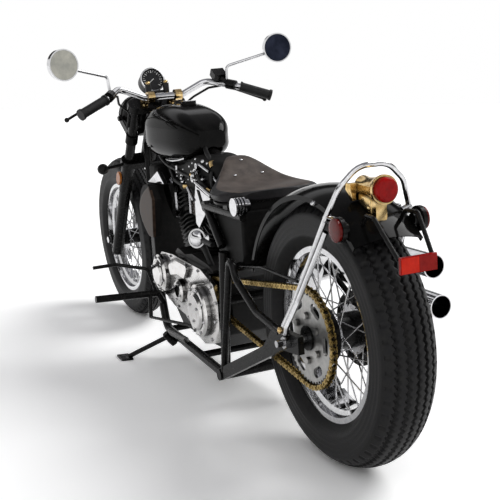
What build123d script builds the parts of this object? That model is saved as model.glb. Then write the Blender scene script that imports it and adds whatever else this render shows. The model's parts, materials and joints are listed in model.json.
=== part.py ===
"""Two-wheeled road machine with a V-twin engine, chain drive and a solo seat.

Everything is drawn upright in millimetres: x forward, y to the rider's left, z up, with
the rear tyre's lowest point at the origin. The steering is then turned a little to the
left, the whole is leaned to the left onto its side stand, and the origin goes to the
bottom centre of the bounding box.
"""

import os
from math import acos, atan2, cos, degrees, hypot, pi, radians, sin, sqrt

from build123d import *

os.makedirs("parts", exist_ok=True)

# Main sizes
WHEELBASE = 1700.0
RAKE = 35.0
LEAN = 4.0
STEER_LEFT = 1.72
SEAT_GAP = 0.3
RUN_GAP = 1.0

# Wheels and tyres
REAR_RADIUS = 333.0
REAR_HALF_WIDTH = 72.0
FRONT_RADIUS = 320.0
FRONT_HALF_WIDTH = 50.0
RIM_LIP_RADIUS = 218.0
RIM_SEAT_RADIUS = 208.0
RIM_INNER_RADIUS = 190.0
REAR_RIM_HALF = 50.0
FRONT_RIM_HALF = 36.0
AXLE_RADIUS = 10.0
SPOKE_RADIUS = 1.9
SPOKES_PER_SIDE = 20

# Drive
CHAIN_PITCH = 15.875
CHAIN_Y = 90.0
REAR_TEETH = 48
FRONT_TEETH = 17
FRONT_SPROCKET_X = 600.0
FRONT_SPROCKET_Z = 322.0

# Frame tubes
RAIL_RADIUS = 14.0
BACKBONE_RADIUS = 25.0
RAIL_Y = 113.0
ARM_Y = 137.0
ARM_OUTER = 145.0
AXLE_END = 178.0
ARM_PIVOT_X = 468.0
ARM_PIVOT_Z = 114.0
THREAD_RADIUS = 8.5

# Steering and fork
FORK_OFFSET = 45.0
FORK_HALF_SPACING = 77.0
SLIDER_RADIUS = 22.0
TUBE_RADIUS = 17.5
HEAD_LOW = 455.0
HEAD_HIGH = 665.0
LOWER_YOKE = 425.0
STEM_RADIUS = 16.0
UPPER_YOKE = 675.0

REAR_AXLE = Vector(0, 0, REAR_RADIUS)
FRONT_AXLE = Vector(WHEELBASE, 0, FRONT_RADIUS)
FORK_UP = Vector(-sin(radians(RAKE)), 0, cos(radians(RAKE)))
FORK_FORWARD = Vector(cos(radians(RAKE)), 0, sin(radians(RAKE)))
STEER_FOOT = FRONT_AXLE - FORK_FORWARD * FORK_OFFSET
FORK = Plane(origin=STEER_FOOT, x_dir=FORK_FORWARD, z_dir=FORK_UP)
REAR_WHEEL = Location(REAR_AXLE, (-90, 0, 0))
FRONT_WHEEL = Location(FRONT_AXLE, (-90, 0, 0))


def mirrored_y(points):
    """The same points on the other side of the middle plane."""
    return [(x, -y, z) for x, y, z in points]


def tube(points, radius, bends, mode=Mode.ADD):
    """A round tube along straight runs joined by arcs, added to the part being built."""
    with BuildLine() as run:
        FilletPolyline(*points, radius=bends)
    with BuildSketch(Plane(origin=run.line @ 0, z_dir=run.line % 0)) as section:
        Circle(radius)
    sweep(section.sketch, path=run.line, mode=mode)


def rod(start, end, radius, mode=Mode.ADD):
    """A straight round bar between two points."""
    start, end = Vector(*start), Vector(*end)
    span = end - start
    with Locations(Plane(origin=start, z_dir=span).location):
        Cylinder(radius, span.length, align=(Align.CENTER, Align.CENTER, Align.MIN), mode=mode)


def block(low, high, mode=Mode.ADD, edge=0.0):
    """A box between two corners, its upright and long edges rounded when edge is given."""
    size = [high[i] - low[i] for i in range(3)]
    middle = [(high[i] + low[i]) / 2 for i in range(3)]
    with Locations(tuple(middle)):
        made = Box(*size, mode=mode)
    if edge:
        fillet(made.edges(), edge)


def turned(profile):
    """A solid turned round the local z axis from (radius, height) points."""
    with BuildSketch(Plane.XZ) as half:
        with BuildLine():
            Polyline(*profile, close=True)
        make_face()
    revolve(half.sketch, axis=Axis.Z)


def without(*others):
    """Cut other finished parts away, so that neighbours meet face to face."""
    for other in others:
        add(other, mode=Mode.SUBTRACT)


# Tyres: a turned ring with a round crown, a bulging sidewall and a bead in the rim.
def tyre_profile(radius, half_width, rim_half):
    bead = rim_half - 4.0 - SEAT_GAP
    section = radius - RIM_LIP_RADIUS
    with BuildSketch(Plane.XZ) as half:
        with BuildLine():
            crown = ThreePointArc((radius - 0.27 * section, half_width * 0.93),
                                  (radius, 0),
                                  (radius - 0.27 * section, -half_width * 0.93))
            ThreePointArc(crown @ 1,
                          (RIM_LIP_RADIUS + 0.43 * section, -half_width),
                          (RIM_LIP_RADIUS + 0.6, -rim_half - 1.5))
            Polyline((RIM_LIP_RADIUS + 0.6, -rim_half - 1.5),
                     (RIM_LIP_RADIUS + 0.6, -bead),
                     (RIM_SEAT_RADIUS + SEAT_GAP, -bead),
                     (RIM_SEAT_RADIUS + SEAT_GAP, bead),
                     (RIM_LIP_RADIUS + 0.6, bead),
                     (RIM_LIP_RADIUS + 0.6, rim_half + 1.5))
            ThreePointArc((RIM_LIP_RADIUS + 0.6, rim_half + 1.5),
                          (RIM_LIP_RADIUS + 0.43 * section, half_width),
                          crown @ 0)
        make_face()
    revolve(half.sketch, axis=Axis.Z)


def rim_profile(half):
    turned([(RIM_LIP_RADIUS, -half), (RIM_LIP_RADIUS, -half + 4), (RIM_SEAT_RADIUS, -half + 4),
            (RIM_SEAT_RADIUS - 3, -half + 18), (RIM_INNER_RADIUS + 4, -half + 24),
            (RIM_INNER_RADIUS + 4, half - 24), (RIM_SEAT_RADIUS - 3, half - 18),
            (RIM_SEAT_RADIUS, half - 4), (RIM_LIP_RADIUS, half - 4), (RIM_LIP_RADIUS, half),
            (RIM_SEAT_RADIUS - 4, half), (RIM_SEAT_RADIUS - 7, half - 16),
            (RIM_INNER_RADIUS, half - 22), (RIM_INNER_RADIUS, -half + 22),
            (RIM_SEAT_RADIUS - 7, -half + 16), (RIM_SEAT_RADIUS - 4, -half)])


def spoke_set(flange_radius, flange_inner, flange_heights, rim_height):
    """Two flange rings, each with crossed spokes that end just inside the rim."""
    end_radius = RIM_INNER_RADIUS - 1.1
    step = 360 / SPOKES_PER_SIDE
    for height in flange_heights:
        side = 1 if height > 0 else -1
        with Locations((0, 0, height)):
            Cylinder(flange_radius + 5, 5)
            Cylinder(flange_inner, 5, mode=Mode.SUBTRACT)
        for index in range(SPOKES_PER_SIDE):
            lead = 38 if index % 2 else -38
            at_rim = radians(index * step + (step / 2 if side > 0 else 0))
            at_hub = at_rim - radians(lead)
            hub_height = height + side * (1.9 if index % 2 else -1.9)
            rod((flange_radius * cos(at_hub), flange_radius * sin(at_hub), hub_height),
                (end_radius * cos(at_rim), end_radius * sin(at_rim), side * rim_height),
                SPOKE_RADIUS)


with BuildPart() as rear_tyre:
    tyre_profile(REAR_RADIUS, REAR_HALF_WIDTH, REAR_RIM_HALF)

with BuildPart() as front_tyre:
    tyre_profile(FRONT_RADIUS, FRONT_HALF_WIDTH, FRONT_RIM_HALF)

with BuildPart() as rear_rim:
    rim_profile(REAR_RIM_HALF)

with BuildPart() as front_rim:
    rim_profile(FRONT_RIM_HALF)

with BuildPart() as rear_spokes:
    spoke_set(58, 45, (34, -34), 10)

with BuildPart() as front_spokes:
    spoke_set(44, 30, (26, -26), 6)

# Rear hub: barrel, sprocket carrier on the left and a brake drum on the right.
with BuildPart() as rear_hub:
    turned([(AXLE_RADIUS + RUN_GAP, -66), (88, -66), (94, -60), (94, -40), (45 - SEAT_GAP, -38),
            (45 - SEAT_GAP, 40), (72, 42), (72, 86), (30, 86), (30, 98), (AXLE_RADIUS + RUN_GAP, 98)])

# Front hub: slim barrel and the carrier of the brake disc on the right.
with BuildPart() as front_hub:
    turned([(AXLE_RADIUS + RUN_GAP, -50), (24, -50), (24, -46), (52, -46), (52, -41), (30 - SEAT_GAP, -39),
            (30 - SEAT_GAP, 42), (24, 46), (24, 50), (AXLE_RADIUS + RUN_GAP, 50)])

with BuildPart() as front_disc:
    with Locations((0, 0, -48)):
        Cylinder(130, 4)
        Cylinder(24 + SEAT_GAP, 4, mode=Mode.SUBTRACT)
        with PolarLocations(82, 10):
            Cylinder(9, 4, mode=Mode.SUBTRACT)
        with PolarLocations(112, 20):
            Cylinder(4.5, 4, mode=Mode.SUBTRACT)

# Rear sprocket: small teeth inside the chain, six long slots and a ring of bolts.
REAR_PITCH_RADIUS = CHAIN_PITCH / 2 / sin(pi / REAR_TEETH)
FRONT_PITCH_RADIUS = CHAIN_PITCH / 2 / sin(pi / FRONT_TEETH)
TOOTH_TIP = REAR_PITCH_RADIUS - 9.0

with BuildPart() as rear_sprocket:
    with BuildSketch(Plane.XY.offset(CHAIN_Y - 4)) as toothed:
        with BuildLine():
            corners = []
            for tooth in range(REAR_TEETH):
                for part_turn, radius in ((-0.32, -5), (-0.14, 0), (0.14, 0), (0.32, -5)):
                    angle = 2 * pi * (tooth + part_turn) / REAR_TEETH
                    corners.append(((TOOTH_TIP + radius) * cos(angle), (TOOTH_TIP + radius) * sin(angle)))
            Polyline(*corners, close=True)
        make_face()
        Circle(30 + SEAT_GAP, mode=Mode.SUBTRACT)
        with PolarLocations(86, 6):
            SlotOverall(46, 24, rotation=90, mode=Mode.SUBTRACT)
    extrude(amount=7)
    with BuildSketch(Plane.XY.offset(CHAIN_Y + 3)):
        with PolarLocations(56, 6, start_angle=30):
            RegularPolygon(9, 6)
    extrude(amount=8)

# The wheel bodies' fixed axles.
with BuildPart() as rear_axle:
    rod((0, -AXLE_END, REAR_RADIUS), (0, AXLE_END, REAR_RADIUS), THREAD_RADIUS)
    rod((0, -ARM_OUTER, REAR_RADIUS), (0, ARM_OUTER, REAR_RADIUS), AXLE_RADIUS)
    for side in (1, -1):
        with BuildSketch(Plane(origin=(0, side * (ARM_OUTER + SEAT_GAP), REAR_RADIUS), z_dir=(0, side, 0))):
            RegularPolygon(16, 6)
        extrude(amount=14)

# Chain: one closed band whose edge swells at each pin.
def chain_outline():
    """Centre line of the chain as points and normals, one every half pitch."""
    span_x = FRONT_SPROCKET_X
    span_z = FRONT_SPROCKET_Z - REAR_RADIUS
    reach = hypot(span_x, span_z)
    slope = atan2(span_z, span_x)
    lap = acos((REAR_PITCH_RADIUS - FRONT_PITCH_RADIUS) / reach)
    straight = sqrt(reach ** 2 - (REAR_PITCH_RADIUS - FRONT_PITCH_RADIUS) ** 2)
    rear_arc = (2 * pi - 2 * lap) * REAR_PITCH_RADIUS
    front_arc = 2 * lap * FRONT_PITCH_RADIUS
    total = rear_arc + front_arc + 2 * straight
    links = round(total / CHAIN_PITCH)
    points = []
    for half in range(2 * links):
        along = total * half / (2 * links)
        if along < rear_arc:
            angle = slope + lap + along / REAR_PITCH_RADIUS
            base = (0, REAR_RADIUS)
            radius = REAR_PITCH_RADIUS
            shift = 0
        elif along < rear_arc + straight:
            angle = slope - lap
            base = (0, REAR_RADIUS)
            radius = REAR_PITCH_RADIUS
            shift = along - rear_arc
        elif along < rear_arc + straight + front_arc:
            angle = slope - lap + (along - rear_arc - straight) / FRONT_PITCH_RADIUS
            base = (FRONT_SPROCKET_X, FRONT_SPROCKET_Z)
            radius = FRONT_PITCH_RADIUS
            shift = 0
        else:
            angle = slope + lap
            base = (FRONT_SPROCKET_X, FRONT_SPROCKET_Z)
            radius = FRONT_PITCH_RADIUS
            shift = along - rear_arc - straight - front_arc
        normal = (cos(angle), sin(angle))
        tangent = (-sin(angle), cos(angle))
        points.append((base[0] + radius * normal[0] + shift * tangent[0],
                       base[1] + radius * normal[1] + shift * tangent[1], normal))
    return points, links


chain_points, chain_links = chain_outline()
with BuildPart() as drive_chain:
    with BuildSketch(Plane(origin=(0, CHAIN_Y - 7.5, 0), x_dir=(1, 0, 0), z_dir=(0, -1, 0))):
        for side, mode in ((1, Mode.ADD), (-1, Mode.SUBTRACT)):
            with BuildLine():
                ring = []
                for index, (x, z, normal) in enumerate(chain_points):
                    half = 7.2 if index % 2 == 0 else 5.0
                    ring.append((x + side * half * normal[0], z + side * half * normal[1]))
                Polyline(*ring, close=True)
            make_face(mode=mode)
    extrude(amount=-15)
print("chain links", chain_links)

# Frame: head tube and backbone, then the two cradles and the tubes that cross between them.
HEAD_BASE = STEER_FOOT + FORK_UP * HEAD_LOW
HEAD_TOP = STEER_FOOT + FORK_UP * HEAD_HIGH
BACKBONE_END = (560, 0, 592)
UPRIGHT_TOP = (452, 474)
UPRIGHT_FOOT = (500, 96)

with BuildPart() as frame_spine:
    rod(HEAD_BASE, HEAD_TOP, 31)
    head_mid = STEER_FOOT + FORK_UP * (HEAD_LOW + 130)
    tube([tuple(head_mid), (720, 0, 704), BACKBONE_END], BACKBONE_RADIUS, 120)
    rod((560, -RAIL_Y - 10, 592), (560, RAIL_Y + 10, 592), 15)
    for side in (1, -1):
        rod((565, side * RAIL_Y, 592), (296, side * RAIL_Y, 592), 12)
        rod((560, side * RAIL_Y, 592), (UPRIGHT_TOP[0] + 8, side * RAIL_Y, UPRIGHT_TOP[1] + 14), 12)
    for x, z in ((1050, 741), (880, 722), (760, 708)):
        rod((x, -BACKBONE_RADIUS - 6, z), (x, BACKBONE_RADIUS + 6, z), 9)
    rod(HEAD_BASE - FORK_UP, HEAD_TOP + FORK_UP, STEM_RADIUS + 0.5, mode=Mode.SUBTRACT)


def cradle(side):
    """Down tube, lower rail and rear upright of one side in one bent tube."""
    foot = HEAD_BASE + FORK_UP * 60
    tube([(foot.X - 14, side * 20, foot.Z), (1100, side * 100, 260), (1030, side * 106, 112),
          (UPRIGHT_FOOT[0], side * RAIL_Y, UPRIGHT_FOOT[1]),
          (UPRIGHT_TOP[0], side * RAIL_Y, UPRIGHT_TOP[1])],
         RAIL_RADIUS, (90, 60, 40))
    rod(HEAD_BASE - FORK_UP, HEAD_TOP, 31, mode=Mode.SUBTRACT)
    without(frame_spine.part)


# The side stand's slanting pin stands out of a boss on the left rail.
STAND_PIVOT = Vector(930, 140, 112)
STAND_PIN_RADIUS = 6.0
STAND_SPLAY = radians(50)
STAND_SWING = radians(45)
STAND_AXIS = Vector(0, cos(STAND_SPLAY), sin(STAND_SPLAY))
STAND_DIRECTION = (Vector(0, sin(STAND_SPLAY), -cos(STAND_SPLAY)) * cos(STAND_SWING)
                   + Vector(1, 0, 0) * sin(STAND_SWING))

with BuildPart() as frame_cradle_left:
    cradle(1)
    rod(STAND_PIVOT - STAND_AXIS * 34, STAND_PIVOT - STAND_AXIS * 12, 14)
    rod(STAND_PIVOT - STAND_AXIS * 34, STAND_PIVOT + STAND_AXIS * 15, STAND_PIN_RADIUS)
    rod(STAND_PIVOT + STAND_AXIS * 11.5, STAND_PIVOT + STAND_AXIS * 16, 10)

with BuildPart() as frame_cradle_right:
    cradle(-1)

with BuildPart() as frame_cross_tubes:
    for x, z, radius in ((1010, 112, 11), (700, 104, 11), (468, 330, 14)):
        rod((x, -RAIL_Y, z), (x, RAIL_Y, z), radius)
    without(frame_cradle_left.part, frame_cradle_right.part)

# Swinging arm: pivot tube, box arms, upper stays and axle plates in one piece.
with BuildPart() as swingarm:
    rod((ARM_PIVOT_X, -ARM_OUTER - 4, ARM_PIVOT_Z), (ARM_PIVOT_X, ARM_OUTER + 4, ARM_PIVOT_Z), 17)
    for side in (1, -1):
        with BuildSketch(Plane(origin=(0, side * ARM_Y - 8, 0), x_dir=(1, 0, 0), z_dir=(0, 1, 0))):
            Polygon((462, -98), (476, -130), (150, -284), (84, -352), (-50, -356), (-50, -312), (40, -302), (120, -262),
                    align=None)
        extrude(amount=16)
        tube([(452, side * ARM_Y, 128), (350, side * ARM_Y, 500), (322, side * ARM_Y, 425), (196, side * ARM_Y, 360),
              (60, side * ARM_Y, 340)], 10, (16, 60, 60))
    rod((366, -ARM_Y, 446), (366, ARM_Y, 446), 12)
    rod((0, -200, REAR_RADIUS), (0, 200, REAR_RADIUS), AXLE_RADIUS, mode=Mode.SUBTRACT)
    without(frame_cradle_left.part, frame_cradle_right.part)

# Engine: crankcase, two finned cylinders in a V, head covers and the side covers.
CRANK = Vector(835, 0, 300)
V_HALF_ANGLE = 26.0
CASE_OUTLINE = [(505, 215), (560, 160), (690, 150), (900, 156), (968, 205), (982, 300), (955, 372),
                (900, 412), (835, 400), (770, 412), (640, 400), (540, 372), (505, 320)]


def side_plate(outline, y_low, y_high, edge=0.0):
    """A plate standing in the middle plane's direction, from (x, z) points."""
    with BuildSketch(Plane(origin=(0, y_high, 0), x_dir=(1, 0, 0), z_dir=(0, -1, 0))) as shape:
        with BuildLine():
            Polyline(*outline, close=True)
        make_face()
        if edge:
            fillet(shape.vertices(), edge)
    extrude(shape.sketch, amount=y_high - y_low)


with BuildPart() as sprocket_room:
    rod((FRONT_SPROCKET_X, 76, FRONT_SPROCKET_Z), (FRONT_SPROCKET_X, 105, FRONT_SPROCKET_Z), 58)
    block((470, 76, FRONT_SPROCKET_Z - 72), (FRONT_SPROCKET_X, 105, FRONT_SPROCKET_Z + 76))

with BuildPart() as crankcase:
    side_plate(CASE_OUTLINE, -92, 92, 14)
    block((466, -34, 300), (530, 34, 350))
    block((950, -30, 112), (1012, 30, 215))
    without(sprocket_room.part, frame_cross_tubes.part)
    rod((FRONT_SPROCKET_X, 74, FRONT_SPROCKET_Z), (FRONT_SPROCKET_X, 96, FRONT_SPROCKET_Z), 18)
    rod((FRONT_SPROCKET_X, CHAIN_Y - 3.5, FRONT_SPROCKET_Z), (FRONT_SPROCKET_X, CHAIN_Y + 3.5, FRONT_SPROCKET_Z),
        FRONT_PITCH_RADIUS - 7.4)


def cylinder_frame(side):
    """Plane at the crank centre whose z runs up one cylinder."""
    lean = radians(V_HALF_ANGLE * side)
    return Plane(origin=CRANK, x_dir=(cos(lean), 0, -sin(lean)), z_dir=(sin(lean), 0, cos(lean)))


def finned_cylinder(side):
    """Barrel and head with cooling fins, drawn along the local z axis."""
    with Locations((0, 0, 90)):
        Cylinder(44, 240, align=(Align.CENTER, Align.CENTER, Align.MIN))
    for index in range(7):
        with BuildSketch(Plane.XY.offset(136 + 14 * index)) as fin:
            RectangleRounded(108, 116, 22)
        extrude(fin.sketch, amount=4)
    with BuildSketch(Plane.XY.offset(236)) as head:
        RectangleRounded(104, 108, 16)
    extrude(head.sketch, amount=84)
    for index in range(4):
        with BuildSketch(Plane.XY.offset(250 + 14 * index)) as fin:
            RectangleRounded(122, 128, 24)
        extrude(fin.sketch, amount=4)


with BuildPart() as front_cylinder:
    finned_cylinder(1)

with BuildPart() as rear_cylinder:
    finned_cylinder(-1)

with BuildPart() as head_cover:
    with BuildSketch(Plane.XY.offset(330 + SEAT_GAP)):
        RectangleRounded(98, 136, 20)
    extrude(amount=30)
    fillet(head_cover.faces().sort_by(Axis.Z)[-1].edges(), 10)

FRONT_CYLINDER = cylinder_frame(1).location
REAR_CYLINDER = cylinder_frame(-1).location
with BuildPart() as cylinders:
    add(front_cylinder.part.moved(FRONT_CYLINDER))
    add(rear_cylinder.part.moved(REAR_CYLINDER))
    without(crankcase.part)
    block((772, -60, 590.3), (898, 60, 668), edge=10)

# A pointed chrome cover on each side of a head, drawn in the cylinder's own directions.
with BuildPart() as side_cover_pair:
    for side in (1, -1):
        with BuildSketch(Plane(origin=(0, side * 71 + 7, 0), x_dir=(1, 0, 0), z_dir=(0, -1, 0))) as pointed:
            with BuildLine():
                Polyline((-52, 352), (52, 352), (46, 300), (14, 228), (-12, 228), (-44, 300), close=True)
            make_face()
            fillet(pointed.vertices(), 8)
        extrude(pointed.sketch, amount=13.4)

with BuildPart() as head_covers:
    for place in (FRONT_CYLINDER, REAR_CYLINDER):
        add(head_cover.part.moved(place))
        add(side_cover_pair.part.moved(place))

def domed(x, z, y_low, y_high, radius):
    """A round cover whose outer edge slopes in."""
    deep = y_high - y_low
    with Locations(Plane(origin=(x, y_low, z), z_dir=(0, 1, 0)).location):
        Cylinder(radius, deep - 6, align=(Align.CENTER, Align.CENTER, Align.MIN))
    with Locations(Plane(origin=(x, y_high - 6, z), z_dir=(0, 1, 0)).location):
        Cone(radius, radius - 8, 6, align=(Align.CENTER, Align.CENTER, Align.MIN))


# Left covers: a round drum in front, a kidney in the middle over an open boss, the clutch cover behind.
with BuildPart() as engine_left_cover:
    side_plate([(515, 235), (560, 178), (640, 158), (730, 176), (800, 214), (900, 222), (1000, 250), (1046, 300),
                (1040, 352), (990, 388), (880, 396), (640, 390), (545, 362), (515, 310)], 92, 118, 16)
    domed(984, 318, 117, 138, 62)
    domed(984, 318, 137, 146, 44)
    domed(650, 262, 117, 138, 80)
    domed(650, 262, 137, 146, 58)
    side_plate([(720, 384), (860, 388), (900, 356), (884, 330), (820, 344), (760, 340)], 117, 130, 10)
    domed(814, 290, 117, 136, 38)
    rod((814, 122, 290), (814, 137, 290), 20, mode=Mode.SUBTRACT)
    without(sprocket_room.part)

with BuildPart() as engine_right_cover:
    side_plate([(540, 240), (590, 180), (700, 162), (860, 170), (940, 220), (960, 300), (920, 370),
                (820, 392), (640, 384), (560, 350)], -118, -92, 16)
    rod((740, -112, 275), (740, -136, 275), 86)
    rod((880, -112, 300), (880, -130, 300), 48)

# Intake between the cylinders with a round cleaner on the right.
with BuildPart() as air_cleaner:
    rod((835, -96, 560), (835, -150, 560), 68)
    fillet(air_cleaner.faces().sort_by(Axis.Y)[0].edges(), 12)
    rod((835, -10, 560), (835, -100, 560), 24)
    block((800, -52, 524), (870, 52, 590))
    rod((740, 0, 548), (930, 0, 548), 18)
    without(cylinders.part)

# Radiator with a side cover on each side.
with BuildPart() as radiator:
    block((1120, -98, 300), (1150, 98, 600), edge=3)
    without(frame_cradle_left.part, frame_cradle_right.part)

with BuildPart() as radiator_covers:
    for side in (1, -1):
        with BuildSketch(Plane(origin=(0, side * 112 + 14, 0), x_dir=(1, 0, 0), z_dir=(0, -1, 0))) as side_cover:
            with BuildLine():
                bow = ThreePointArc((1040, 600), (1158, 520), (1074, 432))
                Polyline(bow @ 1, (1034, 432), (1014, 560), (1040, 600))
            make_face()
        extrude(amount=28)
    without(frame_cradle_left.part, frame_cradle_right.part, radiator.part)

# Two exhaust pipes, one above the other on the right.
EXHAUST_Y = -186.0
with BuildPart() as exhausts:
    tube([(710.6, -74, 541.6), (706, -140, 535), (600, EXHAUST_Y, 491), (-130, EXHAUST_Y, 491)], 26, (50, 90))
    tube([(1050, -40, 540), (1095, -60, 500), (1070, -165, 300), (960, EXHAUST_Y, 230),
          (560, EXHAUST_Y, 330), (360, EXHAUST_Y, 397), (-154, EXHAUST_Y, 397)], 24, (30, 70, 90, 200, 200))
    for tip, z in ((-130, 491), (-154, 397)):
        rod((330, EXHAUST_Y, z), (tip, EXHAUST_Y, z), 30)
        rod((tip + 170, EXHAUST_Y, z), (tip - 1, EXHAUST_Y, z), 27, mode=Mode.SUBTRACT)
    without(cylinders.part, head_covers.part, radiator.part, radiator_covers.part, frame_cradle_right.part)

# Fuel tank: a loft through rounded sections with a tunnel for the backbone.
TANK_SECTIONS = [
    # x, half width, low z, high z, corner
    (760, 44, 735, 790, 20),
    (840, 86, 702, 836, 46),
    (950, 104, 686, 860, 70),
    (1060, 109, 686, 864, 72),
    (1150, 84, 708, 842, 50),
]
with BuildPart() as fuel_tank:
    for x, half, low, high, corner in TANK_SECTIONS:
        with BuildSketch(Plane(origin=(x, 0, (low + high) / 2), x_dir=(0, 1, 0), z_dir=(1, 0, 0))):
            RectangleRounded(2 * half, high - low, corner)
    loft()
    tube([tuple(head_mid), (720, 0, 704), BACKBONE_END], BACKBONE_RADIUS + 6, 120, mode=Mode.SUBTRACT)
    block((740, -BACKBONE_RADIUS - 6, 600), (1200, BACKBONE_RADIUS + 6, 735), mode=Mode.SUBTRACT)
    without(frame_spine.part)
    rod((1000, -20, 860), (1000, -20, 874), 26)

# Seat: a padded saddle on a pan.
SEAT_SECTIONS = [
    # x, half width, low z, high z
    (338, 100, 622, 652),
    (372, 148, 618, 656),
    (450, 142, 618, 660),
    (520, 98, 630, 690),
    (575, 58, 658, 722),
    (612, 34, 694, 738),
]
with BuildPart() as seat_pad:
    for x, half, low, high in SEAT_SECTIONS:
        with BuildSketch(Plane(origin=(x, 0, (low + 8 + high) / 2), x_dir=(0, 1, 0), z_dir=(1, 0, 0))):
            RectangleRounded(2 * half, high - low - 8, 10)
    loft()

with BuildPart() as seat_pan:
    for x, half, low, high in SEAT_SECTIONS:
        with BuildSketch(Plane(origin=(x, 0, low + 3.5), x_dir=(0, 1, 0), z_dir=(1, 0, 0))):
            RectangleRounded(2 * half - 16, 7, 3)
    loft()
    for side in (1, -1):
        block((385, side * RAIL_Y - 8, 602), (415, side * RAIL_Y + 8, 622))
    without(frame_spine.part, seat_pad.part)

FENDER_OUTER = 366.0
FENDER_HALF = 88.0
with BuildPart() as battery_box:
    block((340, -100, 452), (522, 100, 601), edge=8)
    rod((0, -110, REAR_RADIUS), (0, 110, REAR_RADIUS), FENDER_OUTER + 5, mode=Mode.SUBTRACT)
    without(frame_spine.part, swingarm.part, frame_cradle_left.part, frame_cradle_right.part)

# Rear fender over the tyre, drawn round the wheel's own axis.
with BuildPart() as rear_fender:
    with BuildSketch(Plane.XZ):
        with BuildLine():
            outer = ThreePointArc((346, FENDER_HALF), (FENDER_OUTER, 0), (346, -FENDER_HALF))
            Polyline(outer @ 1, (334, -FENDER_HALF), (334, -FENDER_HALF + 3), (344, -FENDER_HALF + 3))
            inner = ThreePointArc((344, -FENDER_HALF + 3), (FENDER_OUTER - 3, 0), (344, FENDER_HALF - 3))
            Polyline(inner @ 1, (334, FENDER_HALF - 3), (334, FENDER_HALF), (346, FENDER_HALF))
        make_face()
    revolve(axis=Axis.Z, revolution_arc=114)
FENDER_PLACE = REAR_WHEEL * Rotation(0, 0, -132)

# Sissy bar: an arch from the arm plates over the fender.
with BuildPart() as sissy_bar:
    arch = [(12, ARM_OUTER + 6.5, 352), (8, ARM_OUTER + 6.5, 372), (-14, 128, 436), (-148, 108, 650),
            (-168, 82, 716), (-176, 38, 758)]
    back = [(x, -y, z) for x, y, z in reversed(arch)]
    tube(arch + back, 6.5, (8, 30, 60, 60, 60, 60, 60, 60, 30, 8))
    for side in (1, -1):
        tube([(2, side * (ARM_OUTER + 6.5), 352), (-6, side * (ARM_OUTER + 6.5), 372),
              (-28, side * 128, 436), (-140, side * 106, 615)], 6.5, (8, 30))
        rod((-148, side * 112, 648), (-148, side * 89, 640), 9)
fender_placed = rear_fender.part.moved(FENDER_PLACE)
sissy_bar_placed = sissy_bar.part - fender_placed - swingarm.part

with BuildPart() as tail_lamp_bracket:
    rod((-222, 0, 706), (-130, 0, 706), 33)
    block((-205, -22, 640), (-150, 22, 690))
    without(fender_placed)
lamp_bracket_above = tail_lamp_bracket.solids().sort_by(Axis.Z)[-1]

with BuildPart() as red_lenses:
    rod((-222.3, 0, 706), (-236, 0, 706), 28)
    fillet(red_lenses.faces().sort_by(Axis.X)[0].edges(), 8)
    for side in (1, -1):
        rod((-195, side * 108.3, 627), (-195, side * 114, 627), 26)

with BuildPart() as plate_bracket:
    for side in (1, -1):
        tube([(-204, side * 48, 632), (-222, side * 50, 655), (-262, side * 55, 655), (-331, side * 42, 574)],
             5, (12, 12))
    rod((-330, -44, 574), (-330, 44, 574), 4)
    block((-336, -45, 545), (-332, 45, 580))
    without(fender_placed)
bracket_outside = plate_bracket.solids().sort_by(SortBy.VOLUME)[-1]

with BuildPart() as rear_reflector:
    block((-344, -45, 545), (-336.3, 45, 581))

with BuildPart() as side_lamp_bodies:
    for side in (1, -1):
        rod((-195, side * 84, 627), (-195, side * 100, 627), 14)
        rod((-195, side * 98, 627), (-195, side * 108, 627), 29)
    without(fender_placed, sissy_bar.part)

with BuildPart() as chain_guard:
    tube([(366, CHAIN_Y + 22, 446), (200, CHAIN_Y + 22, 474), (0, CHAIN_Y + 22, 476)], 4, 100)
    without(swingarm.part)

# Forward foot controls, one set on each side.
def foot_control(side):
    rod((1055, side * 118, 232), (1055, side * 340, 245), 12)
    rod((1055, side * 106, 200), (1055, side * 124, 236), 10)
    tube([(1055, side * 128, 236), (1060, side * 150, 320), (1090, side * 250, 345), (1090, side * 330, 345)],
         6, 20)


with BuildPart() as foot_controls:
    foot_control(1)
    foot_control(-1)
    rod((1010, 168, 165), (690, 112, 196), 5)
    rod((1010, 168, 165), (1055, 150, 232), 7)
    without(frame_cradle_left.part, frame_cradle_right.part, engine_left_cover.part,
            engine_right_cover.part, exhausts.part, radiator_covers.part)

# Round chrome cap in front of the left upright, facing back, and a finned cap under the seat.
CAP_CENTRE = Vector(640, 112, 484)
CAP_FACING = Vector(-0.62, 0.76, 0.2).normalized()
with BuildPart() as chrome_caps:
    rod(CAP_CENTRE - CAP_FACING * 12, CAP_CENTRE + CAP_FACING * 12, 26)
    rod(CAP_CENTRE + CAP_FACING * 10, CAP_CENTRE + CAP_FACING * 16, 29)
    rod(CAP_CENTRE + CAP_FACING * 14, CAP_CENTRE + CAP_FACING * 17, 24, mode=Mode.SUBTRACT)
    rod((640, 112, 484), (540, 112, 480), 7)
    rod((640, 78, 395), (640, 104, 470), 8)
    rod((300, 96, 622), (300, 138, 622), 17)
    for index in range(4):
        rod((300, 108 + 9 * index, 622), (300, 113 + 9 * index, 622), 24)
    without(frame_spine.part, swingarm.part, cylinders.part, frame_cradle_left.part, crankcase.part,
            seat_pad.part, seat_pan.part)


# Where the leaned vehicle stands: both tyres and the stand's foot on one level.
def crown_radius(radius, half_width):
    """Radius of the arc across a tyre's tread."""
    rise = 0.27 * (radius - RIM_LIP_RADIUS)
    return ((half_width * 0.93) ** 2 + rise ** 2) / 2 / rise


def moved_point(location, point):
    return (location * Location(point)).position


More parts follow.
